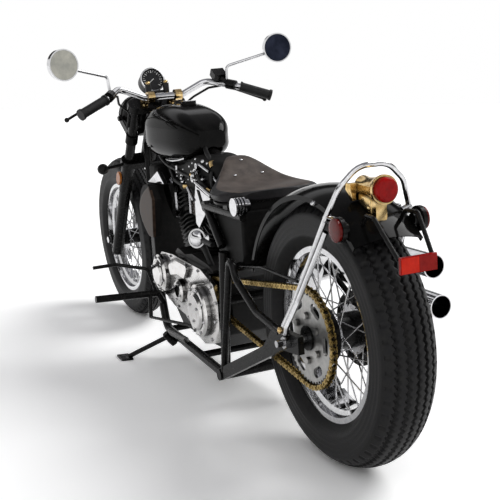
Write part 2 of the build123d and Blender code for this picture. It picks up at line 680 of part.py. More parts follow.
def lowest_point(location, centre, axle, radius, half_width):
    """Height of the lowest point of a tyre's tread under a location."""
    crown = crown_radius(radius, half_width)
    middle = moved_point(location, centre)
    tilt = (moved_point(location, centre + axle) - middle).Z
    return middle.Z - (radius - crown) * sqrt(1 - tilt ** 2) - crown


STEERED = FORK.location * Rotation(0, 0, STEER_LEFT) * FORK.location.inverse()
LEANED = Rotation(-LEAN, 0, 0)
ACROSS = Vector(0, 1, 0)
pitch = 0.0
STANDING = LEANED
for attempt in range(4):
    turned_down = Rotation(0, pitch, 0) * LEANED
    rear_low = lowest_point(turned_down, REAR_AXLE, ACROSS, REAR_RADIUS, REAR_HALF_WIDTH)
    front_low = lowest_point(turned_down * STEERED, FRONT_AXLE, ACROSS, FRONT_RADIUS, FRONT_HALF_WIDTH)
    pitch += degrees(atan2(front_low - rear_low, WHEELBASE))
    STANDING = Location((0, 0, -rear_low)) * turned_down

foot_drop = moved_point(STANDING, STAND_PIVOT).Z
foot_slope = foot_drop - moved_point(STANDING, STAND_PIVOT + STAND_DIRECTION).Z
STAND_LENGTH = foot_drop / foot_slope
stand_foot = STAND_PIVOT + STAND_DIRECTION * STAND_LENGTH
foot_spot = moved_point(STANDING, stand_foot)
FOOT_PLACE = STANDING.inverse() * Location((foot_spot.X, foot_spot.Y, 0))

with BuildPart() as side_stand:
    rod(STAND_PIVOT - STAND_AXIS * 10, STAND_PIVOT + STAND_AXIS * 10, 13)
    rod(STAND_PIVOT, STAND_PIVOT + STAND_DIRECTION * (STAND_LENGTH - 22), 8)
    with Locations(FOOT_PLACE):
        Box(64, 40, 7, align=(Align.CENTER, Align.CENTER, Align.MIN))
    rod(STAND_PIVOT - STAND_AXIS * 10, STAND_PIVOT + STAND_AXIS * 10, STAND_PIN_RADIUS + RUN_GAP,
        mode=Mode.SUBTRACT)


# Fork and steering, in the fork's own directions: forward, left, up along the steering axis.
def in_fork(x, y, z):
    """A point of the upright vehicle in the fork's own directions."""
    point = Vector(x, y, z) - STEER_FOOT
    return (point.dot(FORK_FORWARD), point.Y, point.dot(FORK_UP))


with BuildPart() as fork_yokes:
    for low, high, width in ((LOWER_YOKE, HEAD_LOW - 5, 60), (UPPER_YOKE, 700, 58)):
        with BuildSketch(Plane.XY.offset(low)):
            SlotCenterToCenter(2 * FORK_HALF_SPACING, width, rotation=90)
        extrude(amount=high - low)
    with Locations((0, 0, LOWER_YOKE)):
        Cylinder(STEM_RADIUS, 285, align=(Align.CENTER, Align.CENTER, Align.MIN))
    with BuildSketch(Plane.XY.offset(700)):
        RegularPolygon(18, 6)
    extrude(amount=12)
    for side in (1, -1):
        with Locations((0, side * FORK_HALF_SPACING, 0)):
            Cylinder(TUBE_RADIUS + SEAT_GAP, 800, align=(Align.CENTER, Align.CENTER, Align.MIN),
                     mode=Mode.SUBTRACT)

with BuildPart() as fork_legs:
    for side in (1, -1):
        across = side * FORK_HALF_SPACING
        rod((0, across, 60), (0, across, 700), TUBE_RADIUS)
        rod((0, across, -26), (0, across, 300), SLIDER_RADIUS)
        rod((0, across, 300), (0, across, LOWER_YOKE - 1), 24)
        rod((FORK_OFFSET, side * 60, 0), (FORK_OFFSET, side * 96, 0), 18)
        block((0, min(side * 62, side * 92), -15), (FORK_OFFSET, max(side * 62, side * 92), 15))
    rod((FORK_OFFSET, -110, 0), (FORK_OFFSET, 110, 0), AXLE_RADIUS, mode=Mode.SUBTRACT)

with BuildPart() as front_axle:
    rod((FORK_OFFSET, -96, 0), (FORK_OFFSET, 96, 0), AXLE_RADIUS)
    for side in (1, -1):
        with BuildSketch(Plane(origin=(FORK_OFFSET, side * (96 + SEAT_GAP), 0), z_dir=(0, side, 0))):
            RegularPolygon(14, 6)
        extrude(amount=9)
        rod((FORK_OFFSET, side * 95, 0), (FORK_OFFSET, side * 100, 0), 8)

# Headlamp bucket, its lens, and the two ears that hold it to the fork.
LAMP_PLACE = Location((1450, 0, 815), (0, 90, 0))
with BuildPart() as headlamp_shell:
    with BuildSketch(Plane.XZ):
        with BuildLine():
            bowl = ThreePointArc((0, -72), (50, -50), (72, 0))
            Polyline(bowl @ 1, (76, 4), (76, 30), (71, 30), (71, 18), (0, 18), (0, -72))
        make_face()
    revolve(axis=Axis.Z)

with BuildPart() as headlamp_lens:
    with BuildSketch(Plane.XZ):
        with BuildLine():
            face = ThreePointArc((0, 36), (40, 32), (71 - SEAT_GAP, 22))
            Polyline(face @ 1, (71 - SEAT_GAP, 18 + SEAT_GAP), (0, 18 + SEAT_GAP), (0, 36))
        make_face()
    revolve(axis=Axis.Z)

with BuildPart() as headlamp_ears:
    for side in (1, -1):
        across = side * FORK_HALF_SPACING
        rod((0, across, 530), (0, across, 566), TUBE_RADIUS + 5)
        outer = side * (FORK_HALF_SPACING + 2)
        block((8, min(outer, outer + side * 5), 536), (128, max(outer, outer + side * 5), 560))
        rod((118, side * 74, 549), (118, side * 90, 549), 9)
        rod((0, across, 500), (0, across, 600), TUBE_RADIUS + SEAT_GAP, mode=Mode.SUBTRACT)

with BuildPart() as headlamp:
    add(headlamp_shell.part.moved(LAMP_PLACE))
    add(headlamp_ears.part.moved(FORK.location))
    add(headlamp_lens.part.moved(LAMP_PLACE), mode=Mode.SUBTRACT)

# Handlebar: one bent tube from grip to grip.
BAR_RADIUS = 11.1
GRIP_OUT = (1040, 341, 861)
GRIP_IN = (1075, 241, 900)
BAR_BEND = (1187, 159, 927)
BAR_RISE = (1183, 70, 889)
left_bar = [in_fork(*point) for point in (GRIP_OUT, GRIP_IN, BAR_BEND, BAR_RISE)]
grip_line = (Vector(*left_bar[1]) - Vector(*left_bar[0])).normalized()
bar_points = [tuple(Vector(*left_bar[0]) + grip_line * 3)] + left_bar[1:]
bar_points = bar_points + mirrored_y(reversed(bar_points))
with BuildPart() as handlebar:
    tube(bar_points, BAR_RADIUS, (60, 40, 30, 30, 40, 60))

with BuildPart() as grips:
    for side in (1, -1):
        outer = (left_bar[0][0], side * left_bar[0][1], left_bar[0][2])
        inner = (left_bar[1][0], side * left_bar[1][1], left_bar[1][2])
        rod(outer, inner, 16)
        rod(outer, tuple(Vector(*outer) + (Vector(*inner) - Vector(*outer)).normalized() * 8), 19)
        rod(inner, tuple(Vector(*inner) - (Vector(*inner) - Vector(*outer)).normalized() * 6), 18)
    without(handlebar.part)

bar_clamp = in_fork(1183, 50, 889)
with BuildPart() as risers:
    for side in (1, -1):
        rod((-10, side * 50, 700 + SEAT_GAP), (-10, side * 50, 716), 15)
        rod((-10, side * 50, 712), (bar_clamp[0], side * 50, bar_clamp[2]), 13)
        rod((bar_clamp[0], side * 38, bar_clamp[2]), (bar_clamp[0], side * 62, bar_clamp[2]), 19)
    without(handlebar.part)

# Hand controls: clamp, lever with a ball end, and on the right the brake fluid cup.
with BuildPart() as hand_controls:
    for side in (1, -1):
        clamp_in = Vector(*in_fork(1112, side * 211, 912))
        clamp_out = Vector(*in_fork(1086, side * 229, 905))
        rod(clamp_in, clamp_out, 17)
        pivot = Vector(*in_fork(1136, side * 218, 905))
        rod(Vector(*in_fork(1098, side * 220, 908)), pivot, 8)
        ball = Vector(*in_fork(1135, side * 362, 845))
        tube([tuple(pivot), in_fork(1152, side * 250, 893), tuple(ball)], 4.5, 30)
        with Locations(ball):
            Sphere(8)
    cup = in_fork(1140, -192, 945)
    with Locations(cup):
        Box(40, 46, 26)
    rod(cup, Vector(*in_fork(1112, -211, 912)), 9)
    without(handlebar.part, grips.part)

with BuildPart() as mirrors:
    for side in (1, -1):
        centre = Vector(*in_fork(1038, side * 377, 1021))
        facing = Vector(*in_fork(1038 - 100, side * (377 - 18), 1021)) - centre
        facing = facing.normalized()
        rod(centre, centre - facing * 14, 50)
        rod(centre + facing * 3, centre - facing * 2, 50)
        rod(centre + facing * 0.5, centre + facing * 3.5, 46, mode=Mode.SUBTRACT)
        tube([in_fork(1118, side * 212, 922), in_fork(1119, side * 216, 972),
              in_fork(1062, side * 340, 1004), in_fork(1050, side * 372, 1012)], 5, (16, 30))
    without(handlebar.part, hand_controls.part)

with BuildPart() as mirror_glass:
    for side in (1, -1):
        centre = Vector(*in_fork(1038, side * 377, 1021))
        facing = Vector(*in_fork(1038 - 100, side * (377 - 18), 1021)) - centre
        facing = facing.normalized()
        rod(centre + facing * 0.7, centre + facing * 2.7, 45.6)

# Speedometer: a round case on a stalk from the upper yoke.
SPEEDO_CENTRE = Vector(*in_fork(1285, 0, 944))
SPEEDO_FACING = (Vector(*in_fork(1285 - 90, 0, 944 + 36)) - SPEEDO_CENTRE).normalized()
with BuildPart() as speedometer:
    rod(SPEEDO_CENTRE - SPEEDO_FACING * 40, SPEEDO_CENTRE, 41)
    rod(SPEEDO_CENTRE - SPEEDO_FACING * 8, SPEEDO_CENTRE + SPEEDO_FACING * 4, 44)
    rod(SPEEDO_CENTRE + SPEEDO_FACING, SPEEDO_CENTRE + SPEEDO_FACING * 5, 40, mode=Mode.SUBTRACT)
    tube([(24, 0, 690), (40, 0, 720), tuple(SPEEDO_CENTRE - SPEEDO_FACING * 30)], 7, 14)
    without(fork_yokes.part)

with BuildPart() as front_signals:
    for side in (1, -1):
        with Locations((-18, side * 182, 434)):
            Sphere(20)
        rod((-18, side * 182, 434), (-8, side * 100, 437), 6)
    without(fork_yokes.part)

with BuildPart() as fork_reflectors:
    for side in (1, -1):
        with BuildSketch(Plane(origin=(8, side * 101, 356), x_dir=(1, 0, 0), z_dir=(0, side, 0))):
            Ellipse(19, 28)
        extrude(amount=8)
        rod((4, side * 90, 356), (4, side * 104, 356), 8)
    without(fork_legs.part)

with BuildPart() as brake_caliper:
    block((-80, -64, 36), (-24, -34, 104), edge=5)
    block((-30, -88, 58), (-10, -60, 82))
    rod((FORK_OFFSET, -51.5, 0), (FORK_OFFSET, -44.5, 0), 134, mode=Mode.SUBTRACT)
    without(fork_legs.part)

# Cables from the hand controls down to the headlamp and the engine side.
CABLE_RADIUS = 4.0
with BuildPart() as control_cables:
    beside_tube = FORK_HALF_SPACING + TUBE_RADIUS + CABLE_RADIUS + SEAT_GAP
    for side in (1, -1):
        tube([in_fork(1118, side * 206, 909), in_fork(1180, side * 168, 902), in_fork(1262, side * 140, 872),
              (0, side * beside_tube, 665), (0, side * beside_tube, 600)], CABLE_RADIUS, (30, 30, 30))
    without(hand_controls.part, handlebar.part, headlamp_ears.part)

# Every finished piece: body, the solid and where it is placed in the upright vehicle.
HERE = Location((0, 0, 0))
nodes = {
    "rear_tyre": ("rear_wheel", rear_tyre.part, REAR_WHEEL),
    "rear_rim": ("rear_wheel", rear_rim.part, REAR_WHEEL),
    "rear_spokes": ("rear_wheel", rear_spokes.part, REAR_WHEEL),
    "rear_hub": ("rear_wheel", rear_hub.part, REAR_WHEEL),
    "rear_sprocket": ("rear_wheel", rear_sprocket.part, REAR_WHEEL),
    "front_tyre": ("front_wheel", front_tyre.part, FRONT_WHEEL),
    "front_rim": ("front_wheel", front_rim.part, FRONT_WHEEL),
    "front_spokes": ("front_wheel", front_spokes.part, FRONT_WHEEL),
    "front_hub": ("front_wheel", front_hub.part, FRONT_WHEEL),
    "front_disc": ("front_wheel", front_disc.part, FRONT_WHEEL),
    "rear_axle": ("chassis", rear_axle.part, HERE),
    "drive_chain": ("chassis", drive_chain.part, HERE),
    "frame_spine": ("chassis", frame_spine.part, HERE),
    "frame_cradle_left": ("chassis", frame_cradle_left.part, HERE),
    "frame_cradle_right": ("chassis", frame_cradle_right.part, HERE),
    "frame_cross_tubes": ("chassis", frame_cross_tubes.part, HERE),
    "swingarm": ("chassis", swingarm.part, HERE),
    "crankcase": ("chassis", crankcase.part, HERE),
    "cylinders": ("chassis", cylinders.part, HERE),
    "head_covers": ("chassis", head_covers.part, HERE),
    "engine_left_cover": ("chassis", engine_left_cover.part, HERE),
    "engine_right_cover": ("chassis", engine_right_cover.part, HERE),
    "air_cleaner": ("chassis", air_cleaner.part, HERE),
    "radiator": ("chassis", radiator.part, HERE),
    "radiator_covers": ("chassis", radiator_covers.part, HERE),
    "exhausts": ("chassis", exhausts.part, HERE),
    "fuel_tank": ("chassis", fuel_tank.part, HERE),
    "seat_pad": ("chassis", seat_pad.part, HERE),
    "seat_pan": ("chassis", seat_pan.part, HERE),
    "battery_box": ("chassis", battery_box.part, HERE),
    "rear_fender": ("chassis", rear_fender.part, FENDER_PLACE),
    "sissy_bar": ("chassis", sissy_bar_placed, HERE),
    "tail_lamp_bracket": ("chassis", lamp_bracket_above, HERE),
    "red_lenses": ("chassis", red_lenses.part, HERE),
    "plate_bracket": ("chassis", bracket_outside, HERE),
    "rear_reflector": ("chassis", rear_reflector.part, HERE),
    "side_lamp_bodies": ("chassis", side_lamp_bodies.part, HERE),
    "chain_guard": ("chassis", chain_guard.part, HERE),
    "foot_controls": ("chassis", foot_controls.part, HERE),
    "chrome_caps": ("chassis", chrome_caps.part, HERE),
    "side_stand": ("side_stand", side_stand.part, HERE),
    "fork_yokes": ("front_end", fork_yokes.part, FORK.location),
    "fork_legs": ("front_end", fork_legs.part, FORK.location),
    "front_axle": ("front_end", front_axle.part, FORK.location),
    "headlamp": ("front_end", headlamp.part, HERE),
    "headlamp_lens": ("front_end", headlamp_lens.part, LAMP_PLACE),
    "handlebar": ("front_end", handlebar.part, FORK.location),
    "grips": ("front_end", grips.part, FORK.location),
    "risers": ("front_end", risers.part, FORK.location),
    "hand_controls": ("front_end", hand_controls.part, FORK.location),
    "mirrors": ("front_end", mirrors.part, FORK.location),
    "mirror_glass": ("front_end", mirror_glass.part, FORK.location),
    "speedometer": ("front_end", speedometer.part, FORK.location),
    "front_signals": ("front_end", front_signals.part, FORK.location),
    "fork_reflectors": ("front_end", fork_reflectors.part, FORK.location),
    "brake_caliper": ("front_end", brake_caliper.part, FORK.location),
    "control_cables": ("front_end", control_cables.part, FORK.location),
}
standing = {}
for name, (body, solid, place) in nodes.items():
    steer = STEERED if body in ("front_end", "front_wheel") else HERE
    standing[name] = solid.moved(STANDING * steer * place)

# Centre the whole over the origin.
boxes = [shape.bounding_box() for shape in standing.values()]
middle_x = (min(box.min.X for box in boxes) + max(box.max.X for box in boxes)) / 2
middle_y = (min(box.min.Y for box in boxes) + max(box.max.Y for box in boxes)) / 2
lowest = min(box.min.Z for box in boxes)
CENTRED = Location((-middle_x, -middle_y, 0))
for name, shape in standing.items():
    finished = shape.moved(CENTRED)
    finished.label = name
    export_step(finished, f"parts/{name}.step")

FINAL = CENTRED * STANDING
FINAL_STEERED = FINAL * STEERED


def report(label, location, point, axis):
    """Print a point in metres and a direction in the finished frame."""
    spot = moved_point(location, point)
    tip = moved_point(location, point + axis)
    direction = (tip - spot).normalized()
    print(label, [round(value / 1000, 7) for value in spot],
          [round(value, 9) for value in direction])


print("pitch", round(pitch, 5), "lowest", round(lowest, 4), "stand length", round(STAND_LENGTH, 2))
print("centre shift", round(middle_x, 3), round(middle_y, 3))
print("size", [round(max(getattr(box.max, axis) for box in boxes) - min(getattr(box.min, axis) for box in boxes), 2)
               for axis in "XYZ"])
report("rear_axle", FINAL, REAR_AXLE, ACROSS)
report("front_axle", FINAL_STEERED, FRONT_AXLE, ACROSS)
report("steering", FINAL, STEER_FOOT + FORK_UP * 560, FORK_UP)
report("side_stand", FINAL, STAND_PIVOT, STAND_AXIS)
report("axle_end_left", FINAL, REAR_AXLE + ACROSS * 166, ACROSS)
report("axle_end_right", FINAL, REAR_AXLE - ACROSS * 166, ACROSS * -1)
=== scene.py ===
"""Looks of the leaning two-wheeled machine: rubber, chrome, lacquer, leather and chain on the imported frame.

Points are written upright in millimetres as in the part's source: x forward, y to the rider's left, z up.
`standing` turns them into the leaning row frame in metres.
"""
import json
import math

import bpy
import numpy as np
from mathutils import Matrix, Vector


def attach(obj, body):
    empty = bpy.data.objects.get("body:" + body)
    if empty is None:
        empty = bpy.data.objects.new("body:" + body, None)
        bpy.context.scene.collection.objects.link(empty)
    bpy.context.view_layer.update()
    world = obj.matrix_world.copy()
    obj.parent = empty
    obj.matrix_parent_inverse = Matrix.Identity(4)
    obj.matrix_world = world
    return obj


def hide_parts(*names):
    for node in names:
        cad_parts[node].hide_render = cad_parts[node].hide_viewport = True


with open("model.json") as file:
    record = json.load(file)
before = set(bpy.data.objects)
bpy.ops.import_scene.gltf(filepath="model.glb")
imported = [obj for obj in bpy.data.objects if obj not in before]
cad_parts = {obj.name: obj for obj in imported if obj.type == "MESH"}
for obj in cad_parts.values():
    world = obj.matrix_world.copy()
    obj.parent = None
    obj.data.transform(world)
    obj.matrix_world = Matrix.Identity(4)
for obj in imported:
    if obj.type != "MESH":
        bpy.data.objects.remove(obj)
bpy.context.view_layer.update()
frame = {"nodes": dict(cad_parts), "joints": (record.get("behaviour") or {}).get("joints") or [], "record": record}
NODES = frame["nodes"]

# Sizes shared with the source, in millimetres and degrees
LEAN = 4.0
PITCH = 0.0114
STEER_LEFT = 1.72
RAKE = 35.0
WHEELBASE = 1700.0
REAR_RADIUS = 333.0
FRONT_RADIUS = 320.0
REAR_AXLE = (0.0, 0.0, REAR_RADIUS)
FORK_FOOT = (1663.14, 0.0, 294.19)
RIM_LIP = 218.0
CHAIN_PITCH = 15.875
CHAIN_Y = 90.0
REAR_TEETH = 48
FRONT_TEETH = 17
REAR_SPROCKET = np.array([0.0, REAR_RADIUS])
FRONT_SPROCKET = np.array([600.0, 322.0])

LEFT = np.array([0.0, 1.0, 0.0])
UP = np.array([0.0, 0.0, 1.0])
SIDES = (1, -1)

REAR_AXLE_PLACE = next(joint["pos_m"] for joint in frame["joints"] if joint["child"] == "rear_wheel")
LEANED = np.array(Matrix.Rotation(math.radians(PITCH), 3, "Y") @ Matrix.Rotation(math.radians(-LEAN), 3, "X"))
SHIFT = np.array(REAR_AXLE_PLACE) - LEANED @ (np.array(REAR_AXLE) / 1000)
RAKE_COS, RAKE_SIN = math.cos(math.radians(RAKE)), math.sin(math.radians(RAKE))
RAKED = np.array([[RAKE_COS, 0, -RAKE_SIN],
                  [0, 1, 0],
                  [RAKE_SIN, 0, RAKE_COS]])
TURNED = np.array(Matrix.Rotation(math.radians(STEER_LEFT), 3, "Z"))


def standing(points):
    """Upright millimetres to the leaning row frame: turn by the lean, then shift to the rear axle."""
    return np.asarray(points, float) / 1000 @ LEANED.T + SHIFT


def in_fork(points):
    """Fork directions (forward, left, up the steering axis) to the row frame, steering turned left."""
    turned = np.asarray(points, float) @ TURNED.T
    return standing(turned @ RAKED.T + np.array(FORK_FOOT))


def fork_from_upright(points):
    """Upright millimetres to the fork's own directions, before the steering is turned."""
    return (np.asarray(points, float) - np.array(FORK_FOOT)) @ RAKED


def steered(points):
    """Upright millimetres to the row frame for what turns with the fork."""
    return in_fork(fork_from_upright(points))


def rear_wheel_place(points):
    """Wheel directions (z along the axle to the left) to the row frame at the rear axle."""
    p = np.asarray(points, float)
    return standing(np.stack([p[..., 0], p[..., 2], REAR_RADIUS - p[..., 1]], -1))


def front_wheel_place(points):
    """Wheel directions to the row frame at the front axle, turned with the steering."""
    p = np.asarray(points, float)
    return steered(np.stack([WHEELBASE + p[..., 0], p[..., 2], FRONT_RADIUS - p[..., 1]], -1))


# Meshes
SHARP_EDGE = math.radians(48)


def piece(name, points, faces, body, material, smooth=True, node=None):
    """One mesh piece at the origin that rides on a body and may take a node's place."""
    mesh = bpy.data.meshes.new(name)
    vertices = np.asarray(points, float).reshape(-1, 3).tolist()
    mesh.from_pydata(vertices, [], [list(map(int, face)) for face in faces])
    mesh.validate()
    if smooth:
        mesh.shade_smooth()
        mesh.set_sharp_from_angle(angle=SHARP_EDGE)
    made = bpy.data.objects.new(name, mesh)
    bpy.context.scene.collection.objects.link(made)
    mesh.materials.append(material)
    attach(made, body)
    if node:
        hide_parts(node)
    return made


def several(shapes):
    """Join (points, faces) pairs into one."""
    points, faces, first = [], [], 0
    for own_points, own_faces in shapes:
        own_points = np.asarray(own_points, float).reshape(-1, 3)
        points.append(own_points)
        faces += [[k + first for k in face] for face in own_faces]
        first += len(own_points)
    return np.concatenate(points), faces


def joined(name, shapes, material, body="chassis", place=standing, smooth=True, node=None):
    """One piece made of several closed shapes, put in place by a function of their points."""
    points, faces = several(shapes)
    return piece(name, place(points), faces, body, material, smooth, node)


def even_angles(count):
    """Angles at even steps round a whole turn."""
    return np.arange(count) * 2 * math.pi / count


def eased(table, count):
    """Rows of a table at even steps, rounded by averaging each row with its neighbours, ends kept."""
    stations = np.linspace(0, 1, len(table))
    t = np.linspace(0, 1, count)
    rows = np.stack([np.interp(t, stations, table[:, k]) for k in range(table.shape[1])], -1)
    for _ in range(6):
        rows[1:-1] = (rows[:-2] + 2 * rows[1:-1] + rows[2:]) / 4
    return rows


def signed_power(values, power):
    """Each value to a power with its sign kept; a power under 1 squares the corners of a circle."""
    return np.sign(values) * np.abs(values) ** power


def smooth_path(corners, count=24):
    """Corners joined by a curve: even steps along the chain, then each point averaged with its neighbours."""
    corners = np.array(corners, float)
    along = np.r_[0, np.cumsum(np.linalg.norm(np.diff(corners, axis=0), axis=1))]
    t = np.linspace(0, along[-1], count)
    path = np.stack([np.interp(t, along, corners[:, k]) for k in range(3)], -1)
    for _ in range(4):
        path[1:-1] = (path[:-2] + 2 * path[1:-1] + path[2:]) / 4
    return path


def grid_faces(rows, columns, wrap_rows, wrap_columns):
    """Quads of a rows by columns grid: each cell joins (i, j), (i+1, j), (i+1, j+1), (i, j+1)."""
    i = np.arange(rows if wrap_rows else rows - 1)
    j = np.arange(columns if wrap_columns else columns - 1)
    i, j = np.meshgrid(i, j, indexing="ij")
    next_i = (i + 1) % rows
    next_j = (j + 1) % columns
    cells = [i * columns + j, next_i * columns + j, next_i * columns + next_j, i * columns + next_j]
    return np.stack(cells, -1).reshape(-1, 4)


def closed_skin(rows, columns):
    """A grid's quads wrapped round its columns, and one flat face at each end, all turned the same way."""
    faces = grid_faces(rows, columns, False, True).tolist()
    faces.append(list(range(columns)))
    faces.append([(rows - 1) * columns + k for k in reversed(range(columns))])
    return faces


def outward(shape):
    """Turn a closed shape's faces outward: flip them all when the volume they enclose comes out negative.

    Six times the volume is the sum of a . (b x c) over the faces cut into fans of triangles a, b, c.
    """
    points, faces = shape
    points = np.asarray(points, float).reshape(-1, 3)
    fans = np.array([(face[0], face[k], face[k + 1]) for face in faces for k in range(1, len(face) - 1)])
    a, b, c = points[fans].transpose(1, 0, 2)
    if np.sum(a * np.cross(b, c)) < 0:
        faces = [list(face)[::-1] for face in faces]
    return points, faces


def ring(profile, around):
    """Profile points (radius, height) turned round z: (r cos a, r sin a, h) for equal steps of a."""
    profile = np.asarray(profile, float)
    angles = even_angles(around)
    return np.stack([profile[None, :, 0] * np.cos(angles)[:, None],
                     profile[None, :, 0] * np.sin(angles)[:, None],
                     np.broadcast_to(profile[None, :, 1], (around, len(profile)))], -1)


def tube_grid(path, radius, around, closed=False):
    """A circle carried along a path: centre + r (side cos a + lift sin a), with lift kept from twisting."""
    path = np.asarray(path, float)
    ahead = np.gradient(path, axis=0) if not closed else np.roll(path, -1, 0) - np.roll(path, 1, 0)
    ahead /= np.linalg.norm(ahead, axis=1)[:, None]
    lift = np.zeros_like(path)
    carried = UP if abs(ahead[0][2]) < 0.9 else LEFT
    for k, direction in enumerate(ahead):
        carried = carried - direction * carried.dot(direction)
        carried = carried / np.linalg.norm(carried)
        lift[k] = carried
    side = np.cross(ahead, lift)
    a = even_angles(around)[None, :, None]
    r = np.broadcast_to(np.asarray(radius, float), len(path))[:, None, None]
    return path[:, None] + r * (side[:, None] * np.cos(a) + lift[:, None] * np.sin(a))


def closed_tube(path, radius, around=16):
    """The points and faces of a tube whose two ends are closed by one flat face each."""
    return tube_grid(path, radius, around).reshape(-1, 3), closed_skin(len(path), around)


def disc(centre, axis, near, far, radius, around):
    """A short closed tube between two distances along an axis from a centre."""
    return closed_tube([centre + axis * near, centre + axis * far], radius, around)


def dome(centre, axis, radius, height, sides=12, rings=4):
    """Half a ball squashed to a height: rings of radius r cos b at height h sin b along the axis."""
    axis = np.asarray(axis, float) / np.linalg.norm(axis)
    first = np.cross(axis, [0.3, 0.2, 1.0])
    first /= np.linalg.norm(first)
    second = np.cross(axis, first)
    b = np.linspace(0, math.pi / 2 * 0.94, rings)
    a = even_angles(sides)[None, :, None]
    out = radius * np.cos(b)[:, None, None] * (np.cos(a) * first + np.sin(a) * second)
    rise = (height * np.sin(b))[:, None, None] * axis
    faces = [face[::-1] for face in closed_skin(rings, sides)]
    return (np.asarray(centre) + out + rise).reshape(-1, 3), faces


def bolt(centre, axis, radius, height):
    """Six-sided head with a small domed end."""
    foot = np.asarray(centre, float)
    head = foot + np.asarray(axis) * height
    sides = closed_tube([foot, head], radius, 6)
    return several([sides, dome(head, axis, radius * 0.8, radius * 0.45, 10, 3)])


def coil(start, end, radius, wire, turns, around=8):
    """A helix round the line from start to end: start + t (end - start) + r (side cos wt + lift sin wt)."""
    start, end = np.asarray(start, float), np.asarray(end, float)
    along = (end - start) / np.linalg.norm(end - start)
    side = np.cross(along, UP)
    side /= np.linalg.norm(side)
    lift = np.cross(side, along)
    t = np.linspace(0, 1, int(turns * 14))[:, None]
    w = 2 * math.pi * turns * t
    helix = start + t * (end - start) + radius * (side * np.cos(w) + lift * np.sin(w))
    return closed_tube(helix, wire, around)


def lofted(rows, around=40, power=0.4):
    """Boxy ovals carried along x: y = half cos^p, z = middle + tall sin^p; a small p squares the corners."""
    stations = 48
    x, half, low, high = eased(np.array(rows, float), stations).T
    a = even_angles(around)
    across = signed_power(np.cos(a), power)
    lift = signed_power(np.sin(a), power)
    grid = np.stack([np.broadcast_to(x[:, None], (stations, around)),
                     half[:, None] * across,
                     ((low + high) / 2)[:, None] + ((high - low) / 2)[:, None] * lift], -1)
    return outward((grid, closed_skin(stations, around)))


def crowned_plate(outline, low, high, crown, inset=0.8):
    """An outline of (x, z) as a plate from y = low to high, its face drawn in about the middle and raised."""
    outline = np.array(outline, float)
    middle = outline.mean(0)
    count = len(outline)
    rings = [(1.0, low), (1.0, high), ((1 + inset) / 2 + 0.06, high + crown * 0.8), (inset, high + crown)]
    points = [np.stack([middle[0] + (outline[:, 0] - middle[0]) * k, np.full(count, y),
                        middle[1] + (outline[:, 1] - middle[1]) * k], -1) for k, y in rings]
    return outward((np.concatenate(points), closed_skin(len(rings), count)))


# Materials
COLOUR_FROM, COLOUR_TO = 0.34, 0.68
CLOUD_DETAIL = 5
CLOUD_ROUGHNESS = 0.62
CREVICE_SHADE_REACH = 0.03
BUMP_DEPTH = 0.0006


def shade_in_crevices(tree, colour, power):
    """Painted shade: the colour times how open the place is within the shade's reach, raised to a power, so
    corners and crevices come out darker.
    """
    make = tree.nodes.new
    join = tree.links.new
    shut_in = make("ShaderNodeAmbientOcclusion")
    shut_in.samples = 4
    shut_in.inputs["Distance"].default_value = CREVICE_SHADE_REACH
    deepen = make("ShaderNodeMath")
    deepen.operation = "POWER"
    deepen.inputs[1].default_value = power
    join(shut_in.outputs["AO"], deepen.inputs[0])
    darkened = make("ShaderNodeMix")
    darkened.data_type = "RGBA"
    darkened.blend_type = "MULTIPLY"
    darkened.inputs["Factor"].default_value = 1.0
    join(colour, darkened.inputs["A"])
    join(deepen.outputs[0], darkened.inputs["B"])
    return darkened.outputs["Result"]


def bumped(tree, mapping, texture, scale, height, strength):
    """A normal raised by a fine texture: cells for leather and moulded glass, noise for paint and rubber."""
    fine = tree.nodes.new(texture)
    fine.inputs["Scale"].default_value = scale
    tree.links.new(mapping.outputs[0], fine.inputs["Vector"])
    bump = tree.nodes.new("ShaderNodeBump")
    bump.inputs["Strength"].default_value = strength
    bump.inputs["Distance"].default_value = BUMP_DEPTH
    tree.links.new(fine.outputs[height], bump.inputs["Height"])
    return bump.outputs["Normal"]


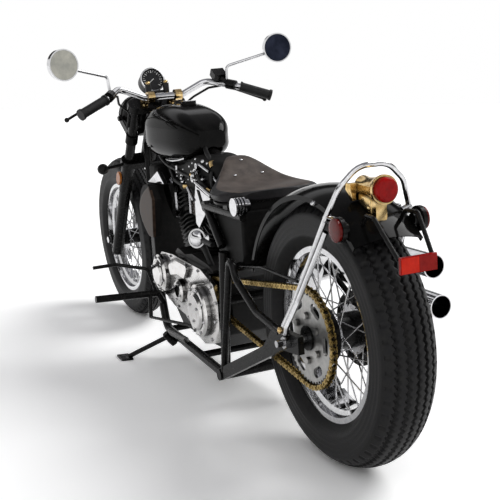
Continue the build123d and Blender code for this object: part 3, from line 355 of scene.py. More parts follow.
def finish_of(name, low, high, metal=0.0, rough=0.4, spread=0.08, cloud=25.0, grain=0.0, grain_scale=900.0,
              cells=0.0, cell_scale=500.0, stretch=(1, 1, 1), specular=0.5, crevice_shade=0.0):
    """Finish in object space: clouds mix two colours and move the roughness; painted shade can darken the colour
    in crevices; a fine texture adds the bump.
    """
    material = bpy.data.materials.new(name)
    material.use_nodes = True
    tree = material.node_tree
    make = tree.nodes.new
    join = tree.links.new
    shader = tree.nodes["Principled BSDF"]
    shader.inputs["Metallic"].default_value = metal
    shader.inputs["Specular IOR Level"].default_value = specular
    place = make("ShaderNodeTexCoord")
    mapping = make("ShaderNodeMapping")
    mapping.inputs["Scale"].default_value = stretch
    join(place.outputs["Object"], mapping.inputs["Vector"])
    clouds = make("ShaderNodeTexNoise")
    clouds.inputs["Scale"].default_value = cloud
    clouds.inputs["Detail"].default_value = CLOUD_DETAIL
    clouds.inputs["Roughness"].default_value = CLOUD_ROUGHNESS
    join(mapping.outputs[0], clouds.inputs["Vector"])
    blend = make("ShaderNodeValToRGB")
    blend.color_ramp.elements[0].position = COLOUR_FROM
    blend.color_ramp.elements[1].position = COLOUR_TO
    blend.color_ramp.elements[0].color = (*low, 1)
    blend.color_ramp.elements[1].color = (*high, 1)
    join(clouds.outputs["Fac"], blend.inputs["Fac"])
    # Painted shade: when a power is given, the colour darkens in corners and crevices by ambient occlusion.
    colour = shade_in_crevices(tree, blend.outputs["Color"], crevice_shade) if crevice_shade else blend.outputs["Color"]
    join(colour, shader.inputs["Base Color"])
    gloss = make("ShaderNodeMapRange")
    gloss.inputs["To Min"].default_value = max(0.02, rough - spread)
    gloss.inputs["To Max"].default_value = rough + spread
    join(clouds.outputs["Fac"], gloss.inputs["Value"])
    join(gloss.outputs["Result"], shader.inputs["Roughness"])
    if cells:
        raised = bumped(tree, mapping, "ShaderNodeTexVoronoi", cell_scale, "Distance", cells)
        join(raised, shader.inputs["Normal"])
    elif grain:
        raised = bumped(tree, mapping, "ShaderNodeTexNoise", grain_scale, "Fac", grain)
        join(raised, shader.inputs["Normal"])
    return material


# Several finishes below darken their colour in corners and crevices by ambient occlusion: painted shade.
# Rubber and leather
TYRE_RUBBER = finish_of("tyre_rubber", (0.005, 0.005, 0.006), (0.013, 0.0125, 0.012), rough=0.5,
                        spread=0.12, cloud=60, grain=0.35, grain_scale=1400, specular=0.18, crevice_shade=1.8)
GRIP_RUBBER = finish_of("grip_rubber", (0.006, 0.006, 0.006), (0.015, 0.015, 0.015), rough=0.5, spread=0.1,
                        cloud=90, grain=0.3, specular=0.25, crevice_shade=1.5)
DARK_LEATHER = finish_of("dark_leather", (0.005, 0.005, 0.006), (0.016, 0.014, 0.015), rough=0.42,
                         spread=0.12, cloud=30, cells=0.4, cell_scale=420, specular=0.25)
WORN_LEATHER = finish_of("worn_leather", (0.045, 0.034, 0.028), (0.115, 0.093, 0.080), rough=0.50,
                         spread=0.14, cloud=24, cells=0.35, cell_scale=420, specular=0.25)

# Bare and plated metal
CHROME = finish_of("chrome_plate", (0.56, 0.56, 0.57), (0.70, 0.70, 0.71), metal=1, rough=0.07, spread=0.05,
                   cloud=90, crevice_shade=1.4)
SPOKE_CHROME = finish_of("spoke_chrome", (0.36, 0.36, 0.37), (0.60, 0.60, 0.61), metal=1, rough=0.16,
                         spread=0.08, cloud=200)
POLISHED = finish_of("polished_cover", (0.58, 0.57, 0.56), (0.78, 0.77, 0.76), metal=1, rough=0.13,
                     spread=0.08, cloud=70, grain=0.05, grain_scale=700, crevice_shade=2.4)
SATIN = finish_of("satin_alloy", (0.38, 0.38, 0.37), (0.54, 0.53, 0.51), metal=1, rough=0.34, spread=0.1,
                  cloud=60, grain=0.12, grain_scale=1100, stretch=(1, 4, 1), crevice_shade=1.6)
BRASS = finish_of("polished_brass", (0.55, 0.36, 0.13), (0.85, 0.64, 0.33), metal=1, rough=0.16, spread=0.1,
                  cloud=70, crevice_shade=1.8)
CHAIN_GOLD = finish_of("chain_gold", (0.36, 0.24, 0.06), (0.66, 0.48, 0.18), metal=1, rough=0.28,
                       spread=0.12, cloud=220, crevice_shade=2.2)
STEEL = finish_of("plain_steel", (0.26, 0.26, 0.26), (0.42, 0.41, 0.40), metal=1, rough=0.32, spread=0.1,
                  cloud=110, grain=0.1, crevice_shade=1.5)

# Paint and plastic
LACQUER = finish_of("black_lacquer", (0.003, 0.003, 0.003), (0.008, 0.0075, 0.007), rough=0.10, spread=0.05,
                    cloud=18, specular=0.07)
FRAME_BLACK = finish_of("frame_paint", (0.004, 0.004, 0.004), (0.011, 0.0105, 0.010), rough=0.26,
                        spread=0.1, cloud=60, grain=0.08, grain_scale=600, specular=0.14, crevice_shade=1.5)
HEAT_BLACK = finish_of("heat_paint", (0.006, 0.006, 0.006), (0.016, 0.015, 0.014), rough=0.46, spread=0.14,
                       cloud=80, grain=0.3, grain_scale=1200, specular=0.25, crevice_shade=1.6)
BOX_BLACK = finish_of("box_black", (0.003, 0.003, 0.003), (0.010, 0.0095, 0.009), rough=0.6, spread=0.15,
                      cloud=70, grain=0.3, grain_scale=900, specular=0.12, crevice_shade=1.6)
# Brown of a painted reflection on the radiator's left cover.
BROWN_PAINTED_REFLECTION = finish_of("brown_painted_reflection", (0.030, 0.018, 0.012), (0.066, 0.042, 0.030), rough=0.42,
                        spread=0.12, cloud=60, grain=0.1, specular=0.12, crevice_shade=1.5)
BLACK_PLASTIC = finish_of("black_plastic", (0.006, 0.006, 0.007), (0.015, 0.015, 0.016), rough=0.34,
                          spread=0.1, cloud=60, grain=0.2, specular=0.25, crevice_shade=1.4)
DIAL_WHITE = finish_of("dial_marks", (0.70, 0.70, 0.68), (0.82, 0.82, 0.80), rough=0.5, spread=0.05,
                       cloud=200)

# Lenses and mirrors
RED_LENS = finish_of("red_lens", (0.26, 0.001, 0.001), (0.46, 0.003, 0.002), rough=0.14, spread=0.04,
                     cloud=40, cells=0.25, cell_scale=260, specular=0.14)
RED_BRIGHT = finish_of("bright_reflector", (0.66, 0.014, 0.003), (0.80, 0.026, 0.006), rough=0.12,
                       spread=0.04, cloud=60, cells=0.35, cell_scale=420, specular=0.14)
RED_DEEP = finish_of("deep_reflector", (0.26, 0.004, 0.002), (0.38, 0.008, 0.004), rough=0.12, spread=0.04,
                     cloud=60, cells=0.35, cell_scale=420, specular=0.14)
SIDE_RED = finish_of("side_lens", (0.10, 0.002, 0.001), (0.18, 0.004, 0.002), rough=0.12, spread=0.04,
                     cloud=60, cells=0.3, cell_scale=300, specular=0.2)
AMBER_LENS = finish_of("amber_lens", (0.46, 0.13, 0.02), (0.68, 0.24, 0.05), rough=0.14, spread=0.05,
                       cloud=40, cells=0.25, cell_scale=300, specular=0.3)
MIRROR = finish_of("mirror_glass", (0.30, 0.30, 0.27), (0.42, 0.41, 0.36), metal=1, rough=0.03, spread=0.02,
                   cloud=30)
# Nearly black and bluish: a painted dark reflection for the right mirror.
MIRROR_PAINTED_DARK_REFLECTION = finish_of("mirror_painted_reflection", (0.010, 0.012, 0.020), (0.024, 0.028, 0.045), metal=1,
                          rough=0.04, spread=0.03, cloud=24)


def clear_lens():
    """Headlamp glass: mostly see-through, with a moulded pattern in its bump."""
    material = finish_of("clear_lens", (0.80, 0.83, 0.86), (0.90, 0.92, 0.94), rough=0.05, spread=0.02,
                         cloud=30, cells=0.3, cell_scale=150)
    material.node_tree.nodes["Principled BSDF"].inputs["Transmission Weight"].default_value = 0.75
    return material


FINISH_BY_SLOT = {
    "tyre": TYRE_RUBBER, "chrome": CHROME, "polished": POLISHED, "satin": SATIN, "gloss_black": LACQUER,
    "frame_black": FRAME_BLACK, "engine_black": HEAT_BLACK, "brass": BRASS, "gold_chain": CHAIN_GOLD,
    "steel": STEEL, "leather": DARK_LEATHER, "rubber": GRIP_RUBBER, "red_lens": RED_LENS, "amber": AMBER_LENS,
    "glass": clear_lens(), "mirror": MIRROR, "black_plastic": BLACK_PLASTIC,
}
NODE_SLOT = {row["node"]: row["material_slot"] for row in frame["record"]["subparts"]}
OWN_FINISH = {"front_spokes": SPOKE_CHROME, "rear_spokes": SPOKE_CHROME, "battery_box": BOX_BLACK,
              "radiator_covers": BOX_BLACK, "side_lamp_bodies": FRAME_BLACK}
for node_name, node in NODES.items():
    slot_finish = FINISH_BY_SLOT[NODE_SLOT[node_name]]
    node.data.materials.clear()
    node.data.materials.append(OWN_FINISH.get(node_name, slot_finish))

# Tyres: the section runs from bead to bead over the crown; grooves follow zigzag lines round the tread
TREAD_STEPS = 80
TREAD_AROUND = 660
WALL_STEPS = 20
CROWN_SHARE = 0.27
CROWN_HALF_SHARE = 0.93
BULGE_SHARE = 1.18
BULGE_GAIN = 1.1
BULGE_SKEW = 0.9
WALL_LINE_DEPTH = 0.9
WALL_LINES_TO = 0.8
BEAD_RADIUS = 208.3
BEAD_INSET = 4.3
BEAD_LIFT = 1.0
BEAD_FLARE = 1.5
GROOVE_LINES = (-0.62, -0.31, 0.0, 0.31, 0.62)
GROOVE_DEPTH = 5.0
GROOVE_HALF = 0.055
GROOVE_SLOPE = 0.018
ZIGZAGS = 110
ZIGZAG_SWING = 0.09
SHOULDER_CUTS = 55
SHOULDER_FROM, SHOULDER_TO = 0.76, 0.93
SHOULDER_CUT_HALF = 0.34
SHOULDER_CUT_SLOPE = 0.12
SHOULDER_DEPTH = 3.0
REAR_HALF_WIDTHS = (72, 50)
FRONT_HALF_WIDTHS = (50, 36)


def tyre_section(radius, half_width, rim_half):
    """Closed section of (radius, height): a crown arc, two walls and two beads.

    Each wall is a straight line from crown to bead plus a sine bulge, with fine lines pressed into it.
    """
    sag = CROWN_SHARE * (radius - RIM_LIP)
    wall_top = radius - sag
    chord = half_width * CROWN_HALF_SHARE
    crown_radius = (chord ** 2 + sag ** 2) / (2 * sag)
    spread = math.asin(chord / crown_radius)
    a = np.linspace(-spread, spread, TREAD_STEPS)
    crown = np.stack([radius - crown_radius + crown_radius * np.cos(a), crown_radius * np.sin(a)], -1)
    t = np.linspace(0, 1, WALL_STEPS)[1:]
    low = RIM_LIP + BEAD_LIFT
    wall_r = wall_top + (low - wall_top) * t
    line = chord + (rim_half + BEAD_FLARE - chord) * t
    bulge = (half_width * BULGE_SHARE - chord) * BULGE_GAIN * np.sin(math.pi * t ** BULGE_SKEW)
    wall_h = np.minimum(line + bulge, half_width)
    wall_h = wall_h - WALL_LINE_DEPTH * (np.arange(len(t)) % 3 == 1) * (t < WALL_LINES_TO)
    right = np.stack([wall_r, wall_h], -1)
    left = np.stack([wall_r, -wall_h], -1)[::-1]
    bead_half = rim_half - BEAD_INSET
    bead = np.array([[low, bead_half], [BEAD_RADIUS, bead_half],
                     [BEAD_RADIUS, -bead_half], [low, -bead_half]])
    return np.concatenate([left, crown, right, bead]), len(left)


def tread_depth(angle, height):
    """Depth of the tread at an angle and a share of the half width: zigzag grooves and shoulder cuts."""
    zigzag = np.abs((angle * ZIGZAGS / math.pi) % 2 - 1) - 0.5
    depth = np.zeros((TREAD_AROUND, TREAD_STEPS))
    for line in GROOVE_LINES:
        away = np.abs(height - line - zigzag * ZIGZAG_SWING)
        depth = np.maximum(depth, np.clip((GROOVE_HALF - away) / GROOVE_SLOPE, 0, 1) * GROOVE_DEPTH)
    shoulder = (np.abs(height) > SHOULDER_FROM) & (np.abs(height) < SHOULDER_TO)
    away = np.abs((angle * SHOULDER_CUTS / math.pi + 0.5) % 2 - 1)
    cut = np.clip((SHOULDER_CUT_HALF - away) / SHOULDER_CUT_SLOPE, 0, 1)
    return np.maximum(depth, shoulder * cut * SHOULDER_DEPTH)


def tyre(name, radius, half_width, rim_half, place, body, node):
    """A ring of the section, whose crown is drawn in towards the axle by the tread's depth."""
    section, first = tyre_section(radius, half_width, rim_half)
    grid = ring(section, TREAD_AROUND)
    crown = grid[:, first:first + TREAD_STEPS]
    height = section[None, first:first + TREAD_STEPS, 1] / half_width
    depth = tread_depth(even_angles(TREAD_AROUND)[:, None], height)
    crown[..., :2] *= (1 - depth / np.hypot(crown[..., 0], crown[..., 1]))[..., None]
    faces = grid_faces(TREAD_AROUND, len(section), True, True)
    return piece(name, place(grid), faces, body, TYRE_RUBBER, node=node)


tyre("rear_tyre_treaded", REAR_RADIUS, *REAR_HALF_WIDTHS, rear_wheel_place, "rear_wheel", "rear_tyre")
tyre("front_tyre_treaded", FRONT_RADIUS, *FRONT_HALF_WIDTHS, front_wheel_place, "front_wheel",
     "front_tyre")


# Chain: figure-eight plates on the pins of both runs
PLATE_RADIUS = 6.9
PLATE_THICKNESS = 2.0
PLATE_WAIST = 0.66
OUTER_SPREAD = 6.6
INNER_SPREAD = 4.4
PIN_RADIUS, PIN_REACH = 2.6, 9
ROLLER_RADIUS, ROLLER_REACH = 4.6, 3.2
PIN_SIDES = 8
HALF_CIRCLE_POINTS = 7


def chain_pins():
    """Points one pitch apart round both sprockets: two arcs joined by two straight runs."""
    rear_r = CHAIN_PITCH / 2 / math.sin(math.pi / REAR_TEETH)
    front_r = CHAIN_PITCH / 2 / math.sin(math.pi / FRONT_TEETH)
    span = FRONT_SPROCKET - REAR_SPROCKET
    reach = math.hypot(*span)
    slope = math.atan2(span[1], span[0])
    lap = math.acos((rear_r - front_r) / reach)
    straight = math.sqrt(reach ** 2 - (rear_r - front_r) ** 2)
    rear_arc = (2 * math.pi - 2 * lap) * rear_r
    front_arc = 2 * lap * front_r
    total = rear_arc + front_arc + 2 * straight
    links = round(total / CHAIN_PITCH)
    along = total * np.arange(links) / links
    ends = np.cumsum([rear_arc, straight, front_arc])
    part = np.searchsorted(ends, along, side="right")
    angle = np.select([part == 0, part == 1, part == 2],
                      [slope + lap + along / rear_r, slope - lap + 0 * along,
                       slope - lap + (along - ends[1]) / front_r], slope + lap)
    radius = np.where(part < 2, rear_r, front_r)
    shift = np.select([part == 1, part == 3], [along - ends[0], along - ends[2]], 0)
    base = np.where((part < 2)[:, None], REAR_SPROCKET, FRONT_SPROCKET)
    normal = np.stack([np.cos(angle), np.sin(angle)], -1)
    tangent = np.stack([-np.sin(angle), np.cos(angle)], -1)
    return base + radius[:, None] * normal + shift[:, None] * tangent


def link_plate(start, end, y):
    """A plate round two pins: one closed outline of two half circles joined by a waist, with thickness."""
    along = (end - start) / np.linalg.norm(end - start)
    across = np.array([-along[1], along[0]])
    a = np.linspace(-math.pi / 2, math.pi / 2, HALF_CIRCLE_POINTS)[:, None]
    half_circle = PLATE_RADIUS * (np.cos(a) * along + np.sin(a) * across)
    middle = (start + end) / 2
    waist = across * PLATE_RADIUS * PLATE_WAIST
    outline = np.concatenate([end + half_circle, [middle + waist], start - half_circle, [middle - waist]])
    count = len(outline)
    levels = [np.stack([outline[:, 0], np.full(count, level), outline[:, 1]], -1)
              for level in (y, y + PLATE_THICKNESS)]
    return np.concatenate(levels), closed_skin(2, count)


def cross_pin(place, reach, radius):
    """A round bar across the chain at a pin's place, as far out on one side as on the other."""
    x, z = place
    return closed_tube([(x, CHAIN_Y - reach, z), (x, CHAIN_Y + reach, z)], radius, PIN_SIDES)


def roller_chain():
    """Outer and inner plates by turns, with a pin and a roller through each joint."""
    pins = chain_pins()
    shapes = []
    for k, start in enumerate(pins):
        end = pins[(k + 1) % len(pins)]
        spread = OUTER_SPREAD if k % 2 else INNER_SPREAD
        for side in SIDES:
            shapes.append(link_plate(start, end, CHAIN_Y + side * spread - PLATE_THICKNESS / 2))
        shapes.append(cross_pin(start, PIN_REACH, PIN_RADIUS))
        shapes.append(cross_pin(start, ROLLER_REACH, ROLLER_RADIUS))
    return joined("drive_chain_links", shapes, CHAIN_GOLD, smooth=False, node="drive_chain")


roller_chain()

# Saddle: a crowned pad whose rim is rolled, with a worn leather panel set into the top
SEAT_ROWS = np.array([
    # x, half width, low z, high z
    (335, 84, 628, 650), (346, 128, 621, 657), (370, 151, 618, 661), (420, 151, 618, 661),
    (455, 140, 619, 664), (490, 114, 624, 676), (520, 86, 634, 697), (548, 62, 650, 716),
    (574, 44, 672, 725), (596, 30, 690, 724), (608, 18, 700, 718),
])
SEAT_STATIONS = 72
SEAT_AROUND = 64
SIDE_POWER = 0.55
TOP_POWER = 0.7
SEAT_HOLLOW = 7
HOLLOW_HALF_SHARE = 0.8
HOLLOW_TURNS = 1.3
BAND_HEIGHT = 25.0
WELT_WIDTH = 2.2
WELT_HEIGHT = 1.2
WELT_SPREAD = 0.012
WELT_DOWN_TO = -0.2
PANEL_SHARE = 0.90
NOSE_FROM = 505
STUDS = [(498, 40), (498, -40), (548, 0)]
STUD_RADIUS, STUD_HEIGHT = 5.5, 3.5
SEAT_TOP_FROM = 0.2


def saddle_surface():
    """The saddle's skin as a grid, the lift of each of its columns, and which points lie on the worn panel.

    A section is y = half cos^side a, z = middle + tall sin^top a. Its top sinks by the hollow times a sine
    along the seat, and a bell curve about the band's height raises the welt.
    """
    x, half, low, high = eased(SEAT_ROWS, SEAT_STATIONS).T
    a = even_angles(SEAT_AROUND)
    across = signed_power(np.cos(a), SIDE_POWER)
    lift = signed_power(np.sin(a), TOP_POWER)
    t = np.linspace(0, 1, SEAT_STATIONS)
    z = ((high + low) / 2)[:, None] + ((high - low) / 2)[:, None] * lift
    hollow = SEAT_HOLLOW * np.clip(1 - (np.abs(across) / HOLLOW_HALF_SHARE) ** 4, 0, 1) * np.clip(lift, 0, 1)
    z = z - hollow * np.sin(np.pi * np.clip(t * HOLLOW_TURNS, 0, 1))[:, None]
    height = z - low[:, None]
    welt = np.exp(-((height - BAND_HEIGHT) / WELT_WIDTH) ** 2) * (lift > WELT_DOWN_TO)
    y = half[:, None] * across * (1 + WELT_SPREAD * welt)
    grid = np.stack([np.broadcast_to(x[:, None], y.shape), y, z + welt * WELT_HEIGHT], -1)
    inside = np.abs(across)[None, :] < PANEL_SHARE
    nose = (x > NOSE_FROM)[:, None]
    return grid, lift, (height > BAND_HEIGHT) & (inside | nose)


def saddle_cushion(grid, panel):
    """The padded cushion in dark leather, with its panel in worn leather and its two end faces flat."""
    faces = [face[::-1] for face in closed_skin(SEAT_STATIONS, SEAT_AROUND)]
    made = piece("saddle_cushion", standing(grid), faces, "chassis", DARK_LEATHER, node="seat_pad")
    made.data.materials.append(WORN_LEATHER)
    worn = panel.reshape(-1)
    made.data.polygons.foreach_set("material_index", [int(worn[face].all()) for face in faces])
    for end in (-2, -1):
        made.data.polygons[end].use_smooth = False


def saddle_studs(grid, lift):
    """Three small domes in the nose, each on the point of the seat's top that is nearest to its place."""
    top = grid[:, lift > SEAT_TOP_FROM].reshape(-1, 3)
    places = [top[np.argmin(np.hypot(top[:, 0] - x, top[:, 1] - y))] for x, y in STUDS]
    studs = [dome(place, UP, STUD_RADIUS, STUD_HEIGHT) for place in places]
    joined("saddle_studs", studs, CHROME)


saddle_grid, saddle_lift, saddle_panel = saddle_surface()
saddle_cushion(saddle_grid, saddle_panel)
saddle_studs(saddle_grid, saddle_lift)

# Bolts round the polished left covers
BOLT_HEIGHT = 4
EDGE_BOLT_RADIUS = 4.5
COVER_CIRCLES = [
    # x, z, y of the face, radius of the circle, bolts, radius of a bolt, angle of the first
    (984, 318, 138, 53, 6, 4.5, 0.3), (650, 262, 138, 69, 8, 4.5, 0.3), (650, 262, 146, 30, 3, 4.0, 0.6),
    (814, 290, 136, 29, 4, 3.6, 0.3),
]
COVER_EDGE_Y = 118
COVER_EDGE = [(540, 250), (580, 186), (700, 176), (860, 228), (940, 240), (1026, 290), (1024, 350),
              (900, 388), (760, 386), (660, 382), (560, 352), (526, 310)]


def bolt_circle(x, z, y, radius, count, size, start):
    """Bolt heads at even angles round a circle in a plane of constant y."""
    return [bolt((x + radius * math.cos(angle), y, z + radius * math.sin(angle)), LEFT, size, BOLT_HEIGHT)
            for angle in start + even_angles(count)]


def cover_bolts():
    """Rings of bolts on the clutch cover, the front drum and the boss, and single ones along the edge."""
    heads = [head for circle in COVER_CIRCLES for head in bolt_circle(*circle)]
    heads += [bolt((x, COVER_EDGE_Y, z), LEFT, EDGE_BOLT_RADIUS, BOLT_HEIGHT) for x, z in COVER_EDGE]
    joined("cover_bolts", heads, CHROME)


cover_bolts()

# Nuts and bolts of the fender and the hoop over it
FENDER_NUTS = [(-130, 649), (-196, 612), (-60, 668)]
FENDER_SIDE = 88
NUT_RADIUS = 6.5
NUT_DOME_RADIUS, NUT_DOME_HEIGHT = 5.6, 7
HOOP_FOOT = (10, 158, 362)
HOOP_BOLT_RADIUS, HOOP_BOLT_HEIGHT = 9, 6


def fender_acorn_nuts():
    """Acorn nuts on both sides of the rear fender: a six-sided foot under a dome."""
    places = [(x, side * FENDER_SIDE, z, side) for side in SIDES for x, z in FENDER_NUTS]
    nuts = [bolt((x, y, z), (0, side, 0), NUT_RADIUS, BOLT_HEIGHT) for x, y, z, side in places]
    nuts += [dome((x, y + side * BOLT_HEIGHT, z), (0, side, 0), NUT_DOME_RADIUS, NUT_DOME_HEIGHT)
             for x, y, z, side in places]
    joined("fender_acorn_nuts", nuts, CHROME)


def hoop_foot_bolts():
    """One brass bolt at each foot of the hoop."""
    x, y, z = HOOP_FOOT
    bolts = [bolt((x, side * y, z), (0, side, 0), HOOP_BOLT_RADIUS, HOOP_BOLT_HEIGHT) for side in SIDES]
    joined("hoop_foot_bolts", bolts, BRASS)


fender_acorn_nuts()
hoop_foot_bolts()
joined("stand_return_spring", [coil((930, 132, 128), (800, 122, 128), 9, 1.8, 16)], STEEL)

# What fills the space between the tank and the engine; a row holds x, half width, low z and high z
HOUSING_ROWS = [(606, 16, 640, 684), (622, 44, 622, 704), (660, 58, 606, 714), (720, 66, 596, 722),
                (780, 68, 586, 720), (840, 68, 584, 698), (905, 68, 584, 682), (945, 60, 610, 680),
                (1000, 56, 636, 678), (1060, 50, 622, 676), (1118, 36, 600, 684)]
HEADER_ROWS = [(1070, 82, 606, 660), (1092, 88, 598, 668), (1140, 88, 598, 668), (1162, 78, 604, 656)]
APRON_ROWS = [(346, 97, 597, 623), (400, 98, 597, 623), (470, 98, 597, 623), (512, 92, 597, 640)]
joined("intake_housing", [lofted(HOUSING_ROWS)], BOX_BLACK)
joined("radiator_header_tank", [lofted(HEADER_ROWS, power=0.3)], BOX_BLACK)
joined("seat_apron", [lofted(APRON_ROWS, power=0.2)], BOX_BLACK)

# Hoses: the corners of each path and the hose's radius
HOSES = [
    ([(772, 22, 742), (742, 30, 726), (700, 40, 716), (664, 46, 700), (650, 48, 690)], 7.5),
    ([(1110, 66, 716), (1060, 70, 690), (1000, 68, 668), (930, 70, 664), (850, 72, 654), (800, 66, 650)], 5),
    ([(1040, 48, 672), (980, 64, 650), (940, 70, 628), (880, 76, 622), (838, 66, 616)], 6),
    ([(750, 62, 690), (720, 76, 668), (690, 74, 640), (664, 62, 620)], 6),
    ([(648, 54, 676), (636, 62, 650), (640, 58, 622)], 5.5),
    ([(645, 111, 484), (600, 112.5, 482), (536, 112, 480)], 7.8),
    ([(640, 76, 389), (640, 90, 430), (640, 105, 473)], 8.8),
]
hose_shapes = [closed_tube(smooth_path(corners), radius, 14) for corners, radius in HOSES]
joined("rubber_hoses", hose_shapes, GRIP_RUBBER)

# Bright fittings of the carburettor and the cylinder heads
BRIGHT_SPOTS = [
    # x, y, z of the crown, radius
    (728, 83, 662, 7), (768, 76, 648, 5), (688, 73, 652, 5), (860, 76, 640, 6), (722, 78, 690, 4),
    (744, 72, 672, 4), (712, 72, 652, 4), (786, 68, 668, 5), (776, 68, 694, 4), (752, 66, 708, 4),
    (672, 60, 700, 4.5), (818, 68, 640, 4.5), (842, 68, 628, 4), (900, 67, 622, 4), (884, 68, 652, 4),
    (802, 68, 682, 5), (731, 66, 664, 8), (752, 67, 648, 6), (700, 62, 704, 7), (648, 54, 671, 5),
    (645, 54, 659, 6), (649, 55, 643, 6), (634, 50, 637, 4.5), (637, 52, 621, 4.5), (695, 63, 645, 6),
    (718, 66, 690, 6), (860, 68, 668, 4), (930, 64, 640, 5),
]
CARBURETTOR = [
    # start, end, radius
    ((728, 58, 662), (728, 78, 662), 20), ((728, 78, 662), (728, 82, 662), 15),
    ((768, 60, 648), (768, 74, 648), 12), ((688, 56, 652), (688, 71, 652), 10),
    ((860, 60, 640), (860, 74, 640), 14), ((722, 60, 690), (722, 76, 690), 9),
]
RODS = [
    # corners, radius, stations
    ([(708, 68, 694), (655, 60, 676)], 4.2, 6), ([(905, 71, 654), (905, 71, 677)], 4.5, 6),
    ([(636, 54, 657), (622, 50, 648)], 4.0, 6), ([(811, 74, 616), (752, 80, 582)], 5.0, 6),
    ([(1069, 60, 687), (1010, 62, 685), (950, 63, 688), (900, 62, 694), (853, 60, 703)], 4.5, 24),
    ([(724, 80, 641), (664, 83, 629), (603, 80, 611)], 5.5, 8),
]
REAR_HEAD_PLATE = [(716, 630), (604, 606), (642, 553), (690, 578)]
FRONT_HEAD_PLATE = [(1138, 605), (968, 614), (1026, 652)]
PLATE_SLOT = [(706, 621), (690, 619), (664, 578), (676, 574)]
CAP_CENTRE = np.array([640.0, 112, 484])
CAP_FACING = np.array([-0.62, 0.76, 0.2]) / math.sqrt(0.62 ** 2 + 0.76 ** 2 + 0.2 ** 2)


def engine_dark_slots():
    """A slot in the rear head's plate and the dark mouths of two of the carburettor's rings."""
    slots = [crowned_plate(PLATE_SLOT, 80, 84.5, 1),
             closed_tube([(728, 77, 662), (728, 84, 662)], 12, 24),
             closed_tube([(860, 73, 640), (860, 76, 640)], 9, 20)]
    joined("engine_dark_slots", slots, BOX_BLACK)


def engine_bright_fittings():
    """Bolt heads, the carburettor's rings, rods, a plate on each head and the domed cap behind the engine."""
    bits = [dome((x, y - 3, z), LEFT, size, size) for x, y, z, size in BRIGHT_SPOTS]
    bits += [closed_tube([start, end], size, 24) for start, end, size in CARBURETTOR]
    bits += [closed_tube(smooth_path(corners, stations), size, 12) for corners, size, stations in RODS]
    bits += [crowned_plate(REAR_HEAD_PLATE, 66, 79, 4),
             dome(CAP_CENTRE + CAP_FACING * 13, CAP_FACING, 24, 14, 28, 8),
             crowned_plate(FRONT_HEAD_PLATE, 84, 94, 5)]
    joined("engine_bright_fittings", bits, CHROME)


def hose_unions():
    """Brass collars at the hoses' ends and a brass plug on the housing."""
    unions = [closed_tube([(664, 46, 702), (650, 48, 688)], 9.5, 12),
              dome((794, 66, 657), LEFT, 6, 5),
              closed_tube([(838, 62, 616), (846, 76, 617)], 7.5, 12),
              closed_tube([(662, 58, 618), (670, 66, 624)], 7.5, 12)]
    joined("hose_unions", unions, BRASS)


engine_dark_slots()
engine_bright_fittings()
hose_unions()

# Painted reflection: a brown plate on the radiator's glossy black left cover stands for a brown reflection in it;
# its outline is a quadratic bow in front and two corners behind, as (x, z)
BOW_TOP, BOW_PULL, BOW_FOOT = np.array([1041, 601]), np.array([1256, 524]), np.array([1075, 431])
COVER_BACK = [[1033, 431], [1013, 560]]


def left_cover_painted_reflection():
    """Painted reflection as a brown plate. The bow is (1 - t)^2 top + 2 t (1 - t) pull + t^2 foot."""
    t = np.linspace(0, 1, 9)[:, None]
    bow = (1 - t) ** 2 * BOW_TOP + 2 * t * (1 - t) * BOW_PULL + t ** 2 * BOW_FOOT
    cover = crowned_plate(bow.tolist() + COVER_BACK, 119, 126.6, 3, 0.9)
    joined("left_cover_painted_reflection", [cover], BROWN_PAINTED_REFLECTION, smooth=False)


left_cover_painted_reflection()

# Painted reflection: a dark bluish disc laid on the right mirror's own glass
MIRROR_PLACE = np.array([1038.0, -377, 1021])
MIRROR_AXIS = np.array([-100.0, 18, 0]) / math.hypot(100, 18)
joined("right_mirror_painted_reflection", [disc(MIRROR_PLACE, MIRROR_AXIS, 2.8, 3.3, 45.6, 48)], MIRROR_PAINTED_DARK_REFLECTION,
       "front_end", steered, smooth=False)

# Two warning lamps with brass caps on a bracket over the bar
WARNING_X = 1244
WARNING_PLACES = (33, -33)
WARNING_FOOT, WARNING_TOP = 893, 931
BARREL_RADIUS = 11
BRACKET_HALF, BRACKET_HEIGHT, BRACKET_RADIUS = 36, 903, 5
CAP_RADIUS, CAP_HEIGHT, CAP_LIFT = 8.6, 8, 3
NECK_RADIUS, NECK_FOOT, NECK_TOP = 6, -1, 3.5


def warning_lamp_stalks():
    """Two black barrels and the bracket between them."""
    stalks = [closed_tube([(WARNING_X, y, WARNING_FOOT), (WARNING_X, y, WARNING_TOP)], BARREL_RADIUS, 18)
              for y in WARNING_PLACES]
    ends = [(WARNING_X, -BRACKET_HALF, BRACKET_HEIGHT), (WARNING_X, BRACKET_HALF, BRACKET_HEIGHT)]
    stalks.append(closed_tube(ends, BRACKET_RADIUS, 12))
    joined("warning_lamp_stalks", stalks, BLACK_PLASTIC, "front_end", steered)


def warning_lamp_caps():
    """A brass dome on a six-sided neck over each barrel."""
    caps = [dome((WARNING_X, y, WARNING_TOP + CAP_LIFT), UP, CAP_RADIUS, CAP_HEIGHT, 20, 6)
            for y in WARNING_PLACES]
    caps += [closed_tube([(WARNING_X, y, WARNING_TOP + NECK_FOOT), (WARNING_X, y, WARNING_TOP + NECK_TOP)],
                         NECK_RADIUS, 6) for y in WARNING_PLACES]
    joined("warning_lamp_caps", caps, BRASS, "front_end", steered)


warning_lamp_stalks()
warning_lamp_caps()

# Dark red glass over the side lamps' faces
SIDE_LAMP = (-195, 627)
SIDE_GLASS_RADIUS = 26.4
SIDE_GLASS_BACK, SIDE_GLASS_FACE = 108.5, 114.2


